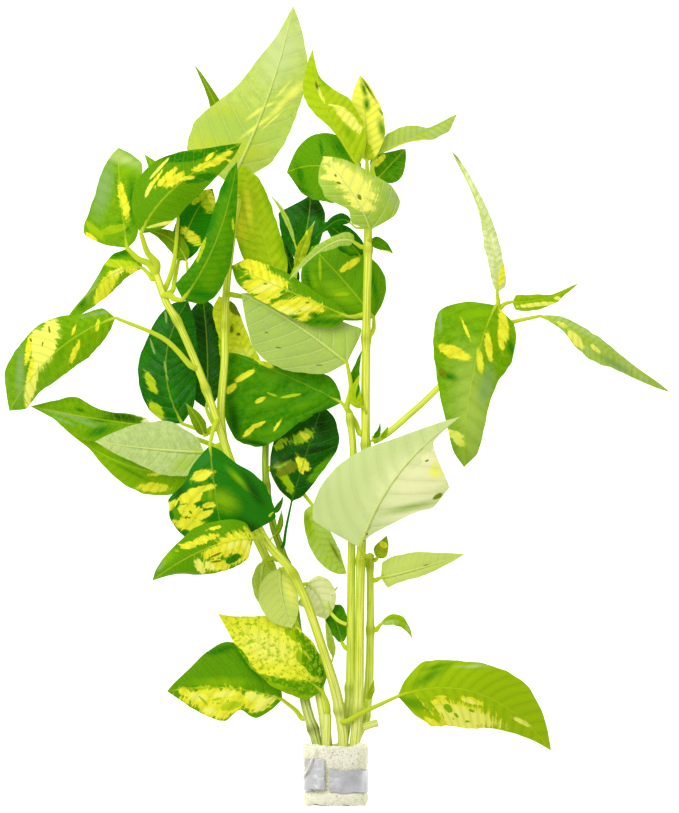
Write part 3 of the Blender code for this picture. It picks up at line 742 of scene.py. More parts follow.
# Leaves of the left stem's shoot
leaf("left_shoot_front_leaf", (-77, 60, 43.5), (-83.5, 72.5, 50), (-69, 92, 53),
     (-41, 111, 45), 12, 14, (GREEN, GREEN), widest=(0.3, 0.5), point=(0.75, 0.75),
     rise=(-4, -3), waves=(0.9, 2), thick=1.3,
     edges=([(137, 200), (143, 172), (170, 156), (205, 150)],
            [(165, 228), (178, 218), (205, 190), (222, 172), (235, 157)]),
     zones=[
      (DARK_GREEN, 0.8, [(168, 160, 205, 156, 5), (205, 152, 238, 148, 4),
          (190, 182, 215, 176, 4)]),
      (PALE_YELLOW, 0.8, [(149, 192, 153, 184, 2.2), (151, 180, 168, 161, 1.4),
          (147, 197, 151, 187, 2), (150, 228, 175, 222, 1.6)]),
      (YELLOW, 1.6, [(159, 186, 177, 170, 3), (168, 186, 181, 177, 4.5),
          (178, 181, 193, 178, 2), (196, 171, 214, 163, 3), (206, 162, 214, 154, 2.2),
          (210, 168, 229, 153, 3.6), (229, 161, 238, 167, 2), (152, 187, 163, 172, 1.6)])])
leaf("left_shoot_outer_leaf", (-80.5, 60, 40), (-89.5, 66.5, 42), (-92.5, 89, 38),
     (-93.5, 109.5, 27), 16.5, 8, (GREEN, BRIGHT_GREEN), widest=(0.1, 0.4), point=(0.6, 0.6),
     rise=(-3, 1), waves=(0.8, 1.5), thick=1.3,
     edges=([(84, 232), (92, 205), (101, 175), (107, 160)],
            [(139, 230), (141, 200), (143, 175), (142, 162)]),
     zones=[
      # painted sheen down the left side
      (PAINTED_SHEEN_GREEN, 0.5, [(108, 165, 99, 210, 9)]),
      (DARK_GREEN, 0.6, [(132, 178, 134, 225, 5), (120, 222, 130, 232, 3),
          (116, 180, 121, 200, 2)]),
      (PALE_GREEN, 0.5, [(110, 152, 138, 166, 7)]),
      (LIME_GREEN, 1.1, [(88, 224, 102, 238, 4), (103, 233, 124, 227, 4)]),
      (YELLOW, 1.4, [(120, 186, 128, 216, 4), (86, 233, 96, 240, 2)]),
      (BRIGHT_GREEN, 0.6, [(118, 170, 135, 170, 6)])])
leaf("left_shoot_upright_leaf", (-71.5, 46.5, 43), (-66, 44.5, 47), (-51.5, 70, 51),
     (-43, 103, 43), (6.5, 5.5, 4.9, 5.3, 5.3, 5, 3.1), 11, (DARK_GREEN, GREEN),
     widest=(0.3, 0.22), point=(1, 1), rise=(-2, -3), waves=(0.6, 2), thick=1.3,
     edges=([], [(215, 298), (226, 280), (233, 250), (236, 220), (238, 190)]),
     zones=[
      (GREEN, 0.6, [(225, 200, 222, 260, 7), (215, 262, 208, 290, 10)]),
      (DARK_GREEN, 0.6, [(214, 215, 200, 245, 5), (185, 292, 220, 298, 5),
          (228, 180, 222, 195, 4)]),
      (LIME, 1.2, [(198, 262, 206, 240, 1.8), (233, 220, 234, 232, 1.2),
          (201, 250, 205, 243, 1.5)])])
leaf("left_shoot_inner_leaf", (-70.5, 48.5, 36.5), (-68, 61, 34), (-62.5, 78, 35),
     (-53.5, 92, 34), 6.5, 8, (DARK_GREEN, DARK_GREEN), point=(0.8, 0.8), rise=(-1, -1),
     edges=([(170, 240), (180, 215), (195, 195)],
            [(195, 255), (210, 230), (216, 205)]),
     zones=[
      (OLIVE, 0.8, [(160, 242, 178, 244, 9)]),
      (LIME, 1.2, [(203, 192, 212, 210, 7), (193, 203, 200, 198, 3)]),
      (YELLOW, 1.4, [(184, 230, 198, 243, 5), (208, 190, 213, 203, 3)])])
leaf("left_shoot_hidden_leaf", (-73.5, 49.5, 38), (-68, 79, 40), (-74, 94, 42),
     (-82.5, 106.5, 40), 4.5, 4.5, (GREEN, BRIGHT_GREEN))
leaf("left_arching_leaf", (-79, 53.5, 38.5), (-83, 58, 37), (-97, 55, 33), (-116, 37, 16), 6.5,
     5, (GREEN, BRIGHT_GREEN), point=(0.9, 0.9), rise=(-4, -3), waves=(0.5, 2),
     edges=([(130, 274), (120, 284), (105, 298), (85, 312)],
            [(138, 258), (128, 249), (110, 257), (98, 275), (82, 298)]),
     zones=[
      (DARK_GREEN, 0.5, [(106, 257, 134, 251, 4.5), (137, 258, 149, 276, 5),
          (84, 300, 78, 306, 4)]),
      # painted sheen
      (PAINTED_SHEEN_GREEN, 0.6, [(99, 268, 88, 296, 3.5)]),
      (LIME, 0.8, [(104, 263, 138, 266, 4.5)]),
      (YELLOW, 1.3, [(116, 272, 98, 298, 6.5), (128, 270, 136, 270, 3.5),
          (105, 293, 98, 300, 3)]),
      (PALE_YELLOW, 1.2, [(112, 274, 122, 270, 3)])])

# Leaves along the left stem
leaf("far_left_leaf", (-62.5, 16.5, 38.2), (-94.5, 37, 41), (-120, 22.5, 34),
     (-140.87, -2.5, 4), 9.5, 12, (GREEN, BRIGHT_GREEN), widest=(0.4, 0.55), point=(0.7, 0.7),
     rise=(-3, -5), waves=(0.7, 2),
     edges=([(110, 331), (88, 358), (60, 378), (36, 395), (25, 408)],
            [(110, 308), (80, 315), (40, 323), (15, 350), (4, 368), (5, 395)]),
     zones=[
      # painted sheen down the left side, and a grey folded margin along the top edge
      (PAINTED_SHEEN_GREEN, 0.4, [(20, 352, 18, 395, 4.5), (84, 317, 112, 311, 2)]),
      (GREEN, 0.6, [(27, 352, 26, 385, 2.5), (66, 335, 58, 360, 4)]),
      (PALE_YELLOW, 1, [(52, 326, 38, 362, 10.5), (36, 360, 26, 402, 5.5),
          (38, 332, 34, 345, 6)]),
      (YELLOW, 1.4, [(30, 338, 26, 362, 3), (79, 342, 71, 362, 2.6), (99, 320, 97, 330, 1.8),
          (76, 326, 73, 334, 1.5), (32, 360, 29, 380, 2.5)]),
      (OLIVE, 1, [(49, 327, 50, 333, 1), (30, 339, 31, 341, 1.2), (43, 342, 42, 346, 0.8)])])
leaf("left_broad_leaf", (-52, -7.5, 37), (-54.5, -17, 42), (-52, -38, 44), (-48.5, -60, 35),
     26, 19.5, (DARK_GREEN, DARK_GREEN), widest=(0.55, 0.55), point=(0.65, 0.65),
     rise=(-6, -6), waves=(1, 2), gloss=0.24, slot="green_leaf",
     edges=([(235, 462), (250, 470), (268, 490), (276, 515), (268, 537), (250, 546)],
            [(190, 476), (178, 490), (168, 503), (172, 525), (190, 538), (205, 545)]),
     zones=[
      (BRIGHT_GREEN, 0.7, [(216, 495, 232, 505, 10), (206, 485, 212, 500, 5),
          (195, 530, 205, 524, 5), (230, 470, 250, 490, 3)]),
      (DEEP_GREEN, 0.7, [(245, 475, 262, 505, 5), (240, 520, 262, 535, 5),
          (176, 498, 184, 486, 4)]),
      (YELLOW, 1.5, [(194, 477, 211, 473, 5), (191, 492, 213, 486, 3.2),
          (184, 500, 202, 494, 6), (178, 523, 200, 524, 6.5), (182, 510, 200, 512, 7),
          (168, 507, 176, 502, 3.5), (198, 518, 212, 511, 3.5), (204, 506, 214, 504, 2.5)]),
      (GREEN, 0.9, [(175, 509, 178, 518, 3), (207, 492, 203, 500, 3),
          (190, 511, 192, 513, 1.2), (190, 480, 192, 484, 1)])])
leaf("left_lower_leaf", (-32.5, -56, 32), (-36, -56.5, 45), (-56.5, -61, 50), (-79, -74.5, 40),
     10.5, 11, (GREEN, GREEN), point=(0.9, 0.9), rise=(-3, -3), waves=(0.8, 2.5),
     edges=([(250, 556), (225, 570), (200, 574), (175, 574)],
            [(245, 522), (225, 519), (195, 527), (178, 543), (160, 562)]),
     zones=[
      (BRIGHT_GREEN, 0.6, [(160, 562, 172, 553, 6)]),
      # painted sheen along the grey lower margin
      (PAINTED_SHEEN_GREEN, 0.5, [(163, 577, 190, 573, 2.2), (158, 570, 165, 562, 2)]),
      (YELLOW, 1.8, [(184, 546, 216, 535, 3.6), (208, 529, 221, 526, 2),
          (206, 564, 228, 564, 6), (206, 555, 232, 546, 6), (222, 548, 248, 538, 10),
          (232, 560, 250, 550, 6)]),
      (PALE_YELLOW, 1.2, [(244, 538, 250, 552, 3), (206, 562, 214, 568, 3),
          (228, 546, 238, 542, 3)]),
      (DARK_GREEN, 0.8, [(228, 561, 240, 555, 3.5)]),
      (OLIVE, 1, [(210, 557, 222, 552, 1), (212, 561, 222, 560, 1)]),
      (PALE_YELLOW, 1.2, [(198, 560, 203, 570, 4)])])
leaf("left_pale_leaf", (-52, -17.5, 29.5), (-57, -20, 33), (-80, -18.5, 33),
     (-103.5, -15.5, 26), 10.5, 11.5, (GREEN, BRIGHT_GREEN), widest=(0.3, 0.35),
     point=(0.7, 0.7), rise=(-2, 1), waves=(0.5, 2), flipped=True,
     under=(PALE_UNDER, GREY_UNDER),
     edges=([(203, 466), (188, 476), (165, 475), (140, 465), (110, 451)],
            [(203, 444), (190, 433), (170, 421), (145, 422), (125, 428), (108, 435)]),
     zones=[
      (LIME_UNDER, 0.6, [(175, 468, 192, 460, 8)])])
leaf("folded_young_leaf", (-54.5, -10, 30), (-57, -13, 34), (-60, -6, 36), (-65, 1, 35), 3,
     2.5, (OLIVE, GREEN))
leaf("left_under_leaf", (-48.5, -29, 24), (-60.5, -27, 20), (-89.5, -26, 10), (-120, -7.5, 1),
     12, 9.5, (BRIGHT_GREEN, BRIGHT_GREEN), widest=(0.3, 0.3), point=(2, 1.2), rise=(-2, 1),
     waves=(0.5, 2),
     edges=([(188, 482), (160, 497), (135, 491), (105, 470), (90, 452), (72, 434)],
            [(170, 445), (130, 440), (90, 425)]),
     zones=[
      (GREEN, 0.6, [(102, 453, 186, 477, 3.2), (110, 462, 150, 482, 2)]),
      (YELLOW, 1.4, [(140, 487, 166, 488, 4.5), (150, 475, 161, 474, 1.6),
          (80, 434, 96, 442, 2)])])
leaf("lower_pale_leaf_front", (-19.5, -73.5, 24.5), (-25, -69.5, 21), (-24, -82, 21),
     (-20, -95, 19), (3.5, 5.5, 6.5, 6.8, 6.4, 5, 2.8), (4, 7.5, 9.5, 10, 9.3, 7, 3.5),
     (GREEN, BRIGHT_GREEN), flipped=True, under=(FRESH_UNDER, FRESH_UNDER),
     zones=[
      (PALE_YELLOW, 0.6, [(286, 580, 296, 606, 6)])])
leaf("lower_pale_leaf_right", (-16.5, -78, 23), (-13.5, -76, 19), (-8.5, -81.5, 17),
     (-5.5, -91.5, 14), (4, 6.5, 7.5, 7.5, 6.8, 5, 2.5), (5, 8.5, 9.5, 9, 7.5, 5.5, 3),
     (GREEN, BRIGHT_GREEN), flipped=True, under=(FRESH_UNDER, CREAM),
     zones=[
      (CREAM, 0.6, [(308, 585, 326, 600, 12)])])

# Leaves of the pale stem
leaf("top_pale_leaf", (-45.2, 90.5, 23.5), (-46.5, 94, 14.5), (-29.5, 133.5, 16),
     (-19.5, 171.14, 0.45), 25.5, 15, (GREEN, BRIGHT_GREEN), widest=(0.14, 0.38),
     point=(1.5, 1.2), rise=(-5, -4), waves=(0.8, 2), flipped=True,
     under=(LIME_UNDER, FRESH_UNDER),
     edges=([(205, 158), (186, 150), (186, 135), (200, 110), (232, 93), (247, 68), (264, 50),
             (280, 27)],
            [(255, 167), (268, 162), (285, 145), (294, 115), (304, 92), (307, 70), (306, 50),
             (300, 22)]),
     zones=[
      (PALE_UNDER, 0.5, [(272, 70, 290, 30, 20)]),
      (YELLOW_GREEN, 0.6, [(196, 140, 255, 150, 16), (215, 112, 240, 118, 12)]),
      (LIME_UNDER, 0.6, [(205, 125, 260, 128, 20)]),
      (PALE_YELLOW, 0.6, [(248, 117, 262, 107, 2), (262, 107, 274, 101, 1.6),
          (286, 97, 301, 82, 4.5), (272, 113, 288, 96, 3), (243, 135, 272, 114, 1.8),
          (277, 95, 289, 81, 1.4), (262, 128, 282, 110, 1)])])
leaf("top_hidden_leaf", (-46.3, 80, 23), (-47.5, 97, 6), (-50, 121, 5), (-62, 146, 2),
     (2.6, 4, 4.6, 4, 2.6, 1.4, 0.7), (2.6, 4, 4.6, 4, 2.6, 1.4, 0.7), (GREEN, OLIVE),
     zones=[
      (PALE_YELLOW, 0.6, [(228, 92, 236, 80, 3)])])
leaf("middle_upright_leaf", (-46, 47, 31), (-25, 50, 24), (-34, 78, 23), (-41.5, 102.5, 17),
     10, 9.5, (LIME_GREEN, LIME), widest=(0.4, 0.4), point=(0.85, 0.85), rise=(-1, -2),
     waves=(0.5, 2),
     edges=([(250, 270), (236, 240), (232, 205), (235, 180)],
            [(288, 265), (284, 245), (276, 220), (268, 195), (256, 175)]),
     zones=[
      (BRIGHT_GREEN, 0.6, [(262, 180, 278, 225, 5), (280, 235, 288, 262, 5),
          (238, 240, 242, 262, 4)]),
      (YELLOW, 0.6, [(239, 212, 242, 238, 6), (246, 190, 250, 225, 4)])])
leaf("dark_glossy_leaf", (-50.5, -10, 20), (-66.5, -8, 22), (-73.5, 18.5, 24), (-64, 44.5, 24),
     11.5, 11, (DEEP_GREEN, DARK_GREEN), widest=(0.4, 0.4), point=(0.8, 0.8), wider=(0, 1.5),
     rise=(-4, -1), waves=(0.8, 3), gloss=0.16,
     edges=([(157, 418), (140, 392), (137, 375), (148, 335), (165, 307)],
            [(192, 400), (194, 362), (193, 330)]),
     zones=[
      (DARK_GREEN, 0.7, [(146, 350, 142, 365, 5), (170, 385, 172, 400, 6)]),
      # painted sheen: thin pale streaks of light on the glossy skin
      (PAINTED_SHEEN_GREEN, 1, [(150, 340, 154, 352, 1.2), (165, 312, 166, 322, 1.2),
          (164, 362, 166, 372, 1.5), (166, 375, 168, 380, 1)]),
      (LIME, 1.5, [(146, 374, 154, 390, 4.2), (150, 404, 160, 416, 5)])])
leaf("dark_narrow_leaf", (-52, -9, 16), (-56.5, -1.5, 15), (-56, 21, 13), (-58, 46, 10), 7, 9,
     (DEEP_GREEN, DEEP_GREEN), point=(0.9, 0.9), wider=(1.6, 0), rise=(1, -1), waves=(0.9, 5),
     gloss=0.12,
     edges=([(190, 380), (188, 350), (190, 320)],
            [(220, 390), (227, 365), (220, 330), (212, 305)]),
     zones=[
      (DARKEST, 0.5, [(196, 312, 205, 345, 7), (205, 310, 215, 330, 4)]),
      (LIME, 1.6, [(219, 338, 223, 368, 2), (221, 370, 223, 378, 1.5)])])
leaf("left_low_leaf", (-49.5, -19, 16), (-79.5, -9, 12), (-105.5, -5.5, 11), (-132, -0.5, 0.3),
     8.5, 7, (GREEN, BRIGHT_GREEN), rise=(-1, 1), waves=(0.4, 2),
     edges=([(140, 432), (118, 440), (92, 442), (75, 437), (50, 418)],
            [(140, 415), (110, 412), (95, 408), (78, 397), (55, 400)]),
     zones=[
      # painted sheen in stripes
      (PAINTED_SHEEN_GREEN, 0.5, [(45, 410, 95, 422, 2.2), (70, 418, 100, 428, 1.6),
          (50, 416, 75, 426, 1.5)]),
      (DARK_GREEN, 0.5, [(88, 434, 108, 428, 5), (75, 409, 82, 411, 2),
          (90, 420, 115, 420, 2.5)]),
      (DEEP_GREEN, 0.6, [(104, 414, 140, 420, 5)]),
      (CREAM, 1.2, [(130, 412, 150, 418, 2.4), (143, 421, 152, 419, 2.4)])])

# Leaves of the olive stem
leaf("yellow_leaf", (-30.8, 9, 13), (-36, 13, 17), (-43, 29, 20), (-51, 46.5, 20), 9, 9,
     (YELLOW_GREEN, YELLOW), point=(0.9, 0.9),
     edges=([(228, 358), (218, 335), (212, 312)],
            [(262, 362), (252, 345), (244, 325), (236, 305)]),
     zones=[
      (OLIVE, 0.8, [(230, 303, 238, 312, 5), (232, 325, 231, 332, 2)]),
      (PALE_YELLOW, 0.6, [(232, 354, 254, 352, 4)]),
      (DARKEST, 0.2, [(236.5, 334, 239.5, 334, 1.6)])])
leaf("dark_shoot_leaf", (-21, 52, 16), (-17.5, 61, 16), (-13.5, 75.5, 14), (-12, 90, 10), 10.5,
     8, (DEEP_GREEN, DARK_GREEN), widest=(0.55, 0.5), point=(0.8, 0.8), waves=(0.5, 2),
     gloss=0.14,
     edges=([(288, 250), (280, 230), (279, 208), (293, 204)],
            [(308, 255), (322, 235), (325, 217), (321, 202)]),
     zones=[
      (DARKEST, 0.5, [(302, 208, 320, 205, 9), (310, 200, 322, 215, 5)])])
leaf("young_shoot_leaf", (-19.5, 51.5, 19.5), (-18, 57.5, 21), (-15, 67.5, 22),
     (-10, 78.5, 22), 2.5, 2.5, (OLIVE, LIME),
     zones=[
      (CREAM, 0.4, [(309, 224, 318, 219, 2.5)]), (YELLOW, 0.6, [(305, 224, 307, 235, 2)])])
leaf("blotched_leaf", (-23.5, -60, 11.5), (-20, -41, 14), (-13.5, -20, 16), (-7, 0, 12), 14,
     14, (DEEP_GREEN, DEEP_GREEN), widest=(0.38, 0.5), point=(0.85, 0.85), rise=(-2, -2),
     waves=(1, 3), gloss=0.2, stalk=DARK_GREEN, thick=0.55,
     edges=([(280, 492), (270, 470), (272, 445), (285, 425), (300, 410)],
            [(308, 490), (325, 468), (338, 448), (338, 428), (332, 415)]),
     zones=[
      (DARKEST, 0.6, [(318, 415, 325, 435, 8), (300, 452, 330, 448, 3)]),
      (GREEN, 0.8, [(312, 480, 333, 458, 6), (300, 420, 312, 412, 3)]),
      (LIME_GREEN, 1.5, [(294, 441, 309, 433, 6), (277, 447, 284, 441, 4),
          (280, 470, 291, 490, 4.5), (276, 466, 290, 462, 4)]),
      (YELLOW, 1.5, [(300, 461, 306, 468, 5), (302, 434, 307, 437, 3), (300, 470, 303, 474, 2)]),
      (OLIVE, 0.9, [(279, 474, 298, 463, 5)]), (YELLOW, 1.6, [(297, 456, 303, 470, 3.5)]),
      # Painted shade: the first two strokes are a dark line under the curled-over edge
      (DARKEST, 0.6, [(272, 466, 300, 453, 3), (300, 452, 326, 447, 2.5),
          (283, 443, 285, 446, 1.5), (291, 434, 293, 442, 1.2)])])
leaf("lower_pale_leaf_left", (-25.6, -66, 10.6), (-32, -66.5, 15), (-33, -78, 15),
     (-30.5, -89, 13), 5.5, 3.8, (GREEN, LIME_GREEN), flipped=True, under=(FRESH_UNDER, LIME),
     zones=[
      (LIME, 0.6, [(268, 596, 271, 612, 5)])])
leaf("lower_left_back_leaf", (-15.5, -134, 6), (-24, -126, 6), (-48, -121, 5),
     (-73.5, -122.5, 0.8), 13.5, 18, (GREEN, GREEN), point=(0.95, 0.95), rise=(-1, -2),
     waves=(0.8, 2),
     edges=([(270, 712), (258, 722), (242, 712), (222, 723), (200, 716), (182, 704)],
            [(275, 680), (255, 655), (232, 643), (210, 651), (192, 667), (178, 680)]),
     zones=[
      (DARK_GREEN, 0.6, [(205, 655, 235, 648, 4), (238, 655, 262, 680, 4)]),
      (BRIGHT_GREEN, 0.5, [(195, 684, 245, 684, 5)]),
      (YELLOW, 1.8, [(186, 700, 234, 697, 9), (200, 708, 228, 714, 8), (244, 702, 262, 704, 9),
          (178, 692, 190, 697, 4), (224, 712, 240, 704, 7)]),
      (PALE_YELLOW, 1.6, [(190, 697, 204, 701, 3.5), (214, 697, 230, 695, 3),
          (246, 697, 262, 701, 4), (204, 712, 212, 713, 3)]),
      (LIME, 1.2, [(222, 710, 238, 706, 4), (200, 700, 206, 706, 1.5),
          (212, 702, 220, 700, 1.5), (195, 690, 205, 690, 2)]),
      (PALE_YELLOW, 1.3, [(256, 712, 265, 701, 4), (265, 704, 275, 699, 3)])])
leaf("middle_low_leaf", (-28.3, -27.5, 10), (-11.3, -42.5, 10), (-7, -59.5, 12),
     (3.5, -72, 11), (1.5, 3.5, 5.2, 5.8, 5.4, 3.8, 1.8), 6.5, (LIME, PALE_GREEN),
     point=(0.8, 0.8), waves=(0.4, 2),
     edges=([], [(303, 515), (305, 530), (312, 553), (325, 568), (336, 574)]),
     zones=[
      (OLIVE, 0.6, [(306, 515, 308, 530, 3), (330, 543, 340, 562, 1.6)]),
      (LIME_GREEN, 0.6, [(306, 520, 312, 540, 4)])])

# Leaves of the right stem
leaf("right_shoot_outer_leaf", (10, 94.5, 47), (8.5, 101, 48), (-5, 125, 48), (-11, 151, 37),
     7, 10, (LIME_GREEN, LIME), widest=(0.5, 0.3), point=(1.05, 1.5), rise=(-2, -1),
     waves=(0.6, 2),
     edges=([(350, 152), (340, 140), (325, 124), (305, 103), (303, 88), (306, 68)],
            [(368, 140), (358, 115), (348, 98), (330, 88), (320, 78), (315, 65)]),
     zones=[
      (PALE_YELLOW, 0.9, [(340, 112, 358, 130, 5.5), (316, 85, 325, 105, 1.4),
          (330, 106, 345, 110, 1.5)]),
      (BRIGHT_GREEN, 0.6, [(318, 75, 328, 90, 3), (345, 128, 352, 140, 4)]),
      (DARKEST, 0.5, [(315.5, 83, 318, 91, 1.3), (318, 88, 320, 86, 0.9)])])
leaf("right_shoot_yellow_leaf", (12.5, 95.5, 44), (12, 103, 44), (11.5, 121, 43), (9, 140, 36),
     7, 9, (YELLOW, PALE_YELLOW), point=(1, 1), rise=(-1, -1), waves=(0.5, 2),
     edges=([(357, 150), (352, 130), (350, 112), (353, 92)],
            [(378, 152), (385, 135), (384, 118), (376, 98), (368, 84)]),
     zones=[
      (DARK_GREEN, 0.5, [(362, 84, 366, 97, 2.6), (366, 100, 367, 110, 3.6)]),
      (DEEP_GREEN, 0.4, [(361, 77, 375, 100, 1.3)]),
      (GREEN, 0.6, [(380, 122, 384, 138, 4), (379, 110, 383, 116, 1.5)]),
      (LIME, 0.8, [(366, 146, 370, 158, 5)])])
leaf("right_shoot_narrow_leaf", (15, 95, 41.5), (16, 106.5, 40), (34, 114.5, 34),
     (50.5, 124, 22), 4.5, 4, (LIME, PALE_GREEN), widest=(0.45, 0.55), point=(0.9, 0.9),
     waves=(0.4, 2),
     edges=([(381, 140), (395, 130), (410, 125), (425, 129), (440, 122)],
            [(390, 150), (405, 144), (425, 140), (443, 137), (452, 125)]),
     zones=[
      (PALE_GREEN, 0.4, [(412, 133, 452, 118, 4), (430, 137, 450, 130, 3)]),
      (PALE_YELLOW, 0.5, [(395, 147, 425, 139, 1.2)])])
leaf("right_shoot_dark_leaf", (14.5, 90, 39.5), (16.5, 96, 35), (22, 102, 31), (28.5, 109, 25),
     (4, 7, 8, 7, 5, 3, 1.5), (3, 6, 7, 6.8, 5.6, 3.8, 1.8), (GREEN, DARK_GREEN),
     zones=[
      (YELLOW, 1.2, [(374, 166, 384, 156, 3)]), (DARK_GREEN, 0.6, [(385, 172, 400, 158, 3)])])
leaf("right_shoot_round_leaf", (9.5, 83, 40), (8, 91, 37), (-5.5, 101, 35), (-22, 99, 26),
     14.5, 14.5, (GREEN, GREEN), widest=(0.5, 0.5), point=(0.6, 0.6), rise=(-3, -3),
     waves=(0.7, 2),
     edges=([(350, 208), (335, 204), (315, 200), (300, 192), (290, 182)],
            [(356, 160), (342, 140), (328, 131), (312, 136), (298, 147), (291, 160)]),
     zones=[
      (DARK_GREEN, 0.7, [(334, 142, 346, 156, 6), (297, 165, 303, 185, 4),
          (320, 140, 322, 155, 2), (290, 182, 310, 194, 3)]),
      (YELLOW, 1.2, [(317, 132, 324, 128, 2.6)])])
leaf("right_shoot_pale_leaf", (13, 70, 46.5), (13.5, 74, 52), (6, 89, 58), (-6.5, 105, 56),
     10.5, 17, (GREEN, BRIGHT_GREEN), widest=(0.68, 0.25), point=(0.55, 0.85), rise=(-1, -4),
     waves=(0.7, 2), flipped=True, under=(BRIGHT_UNDER, LIME_UNDER), thick=0.6,
     edges=([(352, 228), (350, 214), (340, 207), (325, 198), (318, 180)],
            [(380, 230), (395, 216), (402, 208), (395, 192), (380, 180), (358, 167), (340, 160)]),
     zones=[
      (GREY_UNDER, 0.5, [(388, 192, 397, 206, 6)]),
      (PALE_YELLOW, 1.5, [(330, 168, 368, 196, 10), (350, 198, 368, 208, 7),
          (324, 178, 342, 178, 4), (325, 160, 330, 160, 3)]),
      (PALE_YELLOW, 0.6, [(340, 172, 365, 194, 12)]),
      (OLIVE, 1, [(358, 197, 360, 200, 2), (337, 184, 340, 185, 1.2), (335, 176, 336, 178, 0.9)])])
leaf("middle_narrow_leaf", (9.5, 67, 42.5), (6.5, 69, 44), (-4.5, 67.5, 46), (-21, 53, 47),
     3.6, 3.4, (GREEN, BRIGHT_GREEN), widest=(0.3, 0.3), point=(0.9, 0.9), flipped=True,
     under=(BRIGHT_UNDER, LIME_UNDER),
     edges=([(350, 247), (330, 251), (312, 257), (300, 266)],
            [(350, 232), (335, 236), (320, 244), (305, 258)]))
leaf("middle_golden_leaf", (9, 38, 38.5), (4, 37.5, 42), (-17, 46.5, 45), (-45.5, 59, 41),
     10.5, 6, (GREEN, GREEN), point=(0.9, 0.9), rise=(-3, -3), waves=(0.9, 2.5),
     edges=([(335, 327), (300, 322), (268, 304), (243, 290)],
            [(330, 302), (312, 290), (290, 275), (262, 262), (245, 259)]),
     zones=[
      (DARK_GREEN, 0.6, [(300, 322, 345, 322, 3), (262, 304, 275, 306, 2.5),
          (275, 300, 292, 290, 2.5)]),
      (YELLOW, 1.5, [(240, 264, 264, 268, 6), (252, 272, 284, 286, 8), (250, 285, 275, 292, 9),
          (254, 298, 268, 301, 5), (274, 310, 300, 305, 8), (292, 302, 318, 308, 7),
          (298, 318, 308, 314, 5), (312, 307, 322, 310, 3)]),
      (PALE_YELLOW, 1.2, [(256, 290, 278, 284, 5), (280, 310, 296, 312, 4),
          (300, 308, 310, 308, 3)]),
      (DARK_GREEN, 0.6, [(240, 270, 247, 270, 1.4), (244, 279, 252, 279, 1.4),
          (264, 284, 267, 284, 1), (292, 318, 300, 316, 2), (312, 314, 318, 316, 3),
          (306, 303, 309, 303, 1.2)]),
      (LIME_GREEN, 0.6, [(330, 316, 358, 315, 1.8)])])
leaf("middle_broad_leaf", (13.5, 30, 36), (15, 37, 30), (2.5, 52.5, 29), (-11.5, 67.5, 24), 14,
     14, (GREEN, GREEN), widest=(0.42, 0.38), point=(0.75, 0.75), rise=(-2, -2), waves=(0.8, 2),
     edges=([(340, 318), (312, 300), (300, 280), (303, 262)],
            [(384, 300), (386, 283), (378, 265), (362, 250), (335, 240)]),
     zones=[
      (DARK_GREEN, 0.6, [(345, 248, 358, 252, 3.5), (306, 268, 310, 285, 4),
          (372, 270, 376, 300, 3)]),
      (BRIGHT_GREEN, 0.5, [(325, 285, 350, 300, 9), (312, 275, 318, 290, 4)]),
      (YELLOW, 1.2, [(341, 270, 357, 260, 3.2)]),
      (LIME_GREEN, 0.8, [(319.5, 257, 320.5, 280, 1.4), (336, 295, 348, 294, 1.8)])])
leaf("middle_dark_leaf", (9, -12, 31), (1.3, 1.1, 28), (-22.3, 12.5, 25.5),
     (-47.4, 22.5, 19.5), (5, 11.9, 26.4, 33.2, 33.6, 28.4, 16.6),
     (4.2, 7.6, 6.8, 5.1, 2.6, 1.3, 0.9), (DARK_GREEN, GREEN), rise=(-5, -2), waves=(1, 2.5),
     gloss=0.32,
     zones=[
      (DEEP_GREEN, 0.6, [(232, 405, 236, 438, 6), (240, 440, 270, 446, 2.5),
          (305, 425, 330, 408, 4)]),
      (GREEN, 0.6, [(258, 380, 285, 372, 5), (255, 405, 280, 400, 6), (262, 435, 285, 430, 4),
          (290, 408, 315, 402, 3)]),
      (YELLOW, 1.3, [(236, 381, 252, 371, 2.8), (228, 391, 234, 385, 3),
          (256, 402, 263, 398, 2.2), (244, 436, 254, 426, 2.4), (254, 427, 264, 422, 1.8),
          (274, 430, 280, 421, 1.5), (256, 358, 272, 366, 3.2)]),
      (LIME, 1.2, [(268, 393, 276, 396, 1), (284, 397, 300, 394, 1.4),
          (292, 437, 300, 428, 1.8)])])

# Leaves of the middle and outer stems
leaf("middle_pale_leaf", (3.5, -0.5, 36.5), (3.6, 17.9, 38), (-19.5, 35, 37.5),
     (-41.5, 47.5, 35), 18, 16, (GREEN, BRIGHT_GREEN), widest=(0.4, 0.2), point=(0.9, 0.9),
     rise=(-3, -4), waves=(0.9, 2.5), flipped=True, under=(GREY_UNDER, LIME_UNDER),
     edges=([(325, 373), (300, 372), (280, 368), (265, 360), (252, 345), (246, 322)],
            [(356, 362), (361, 345), (360, 328), (345, 322), (320, 308), (280, 295)]),
     zones=[
      (LIME_UNDER, 0.5, [(328, 340, 352, 352, 14)]),
      (OLIVE, 0.8, [(276, 347, 281, 348, 0.8), (316, 365, 322, 365, 0.8),
          (265, 332, 268, 333, 0.8)])])
leaf("small_dark_leaf", (3, -103.5, 15), (1.5, -101.5, 13), (-0.5, -94.5, 12), (-4, -85.5, 11),
     4, 3.5, (DARK_GREEN, GREEN),
     edges=([(336, 640), (328, 630), (323, 615)],
            [(347, 630), (346, 612), (340, 605)]))
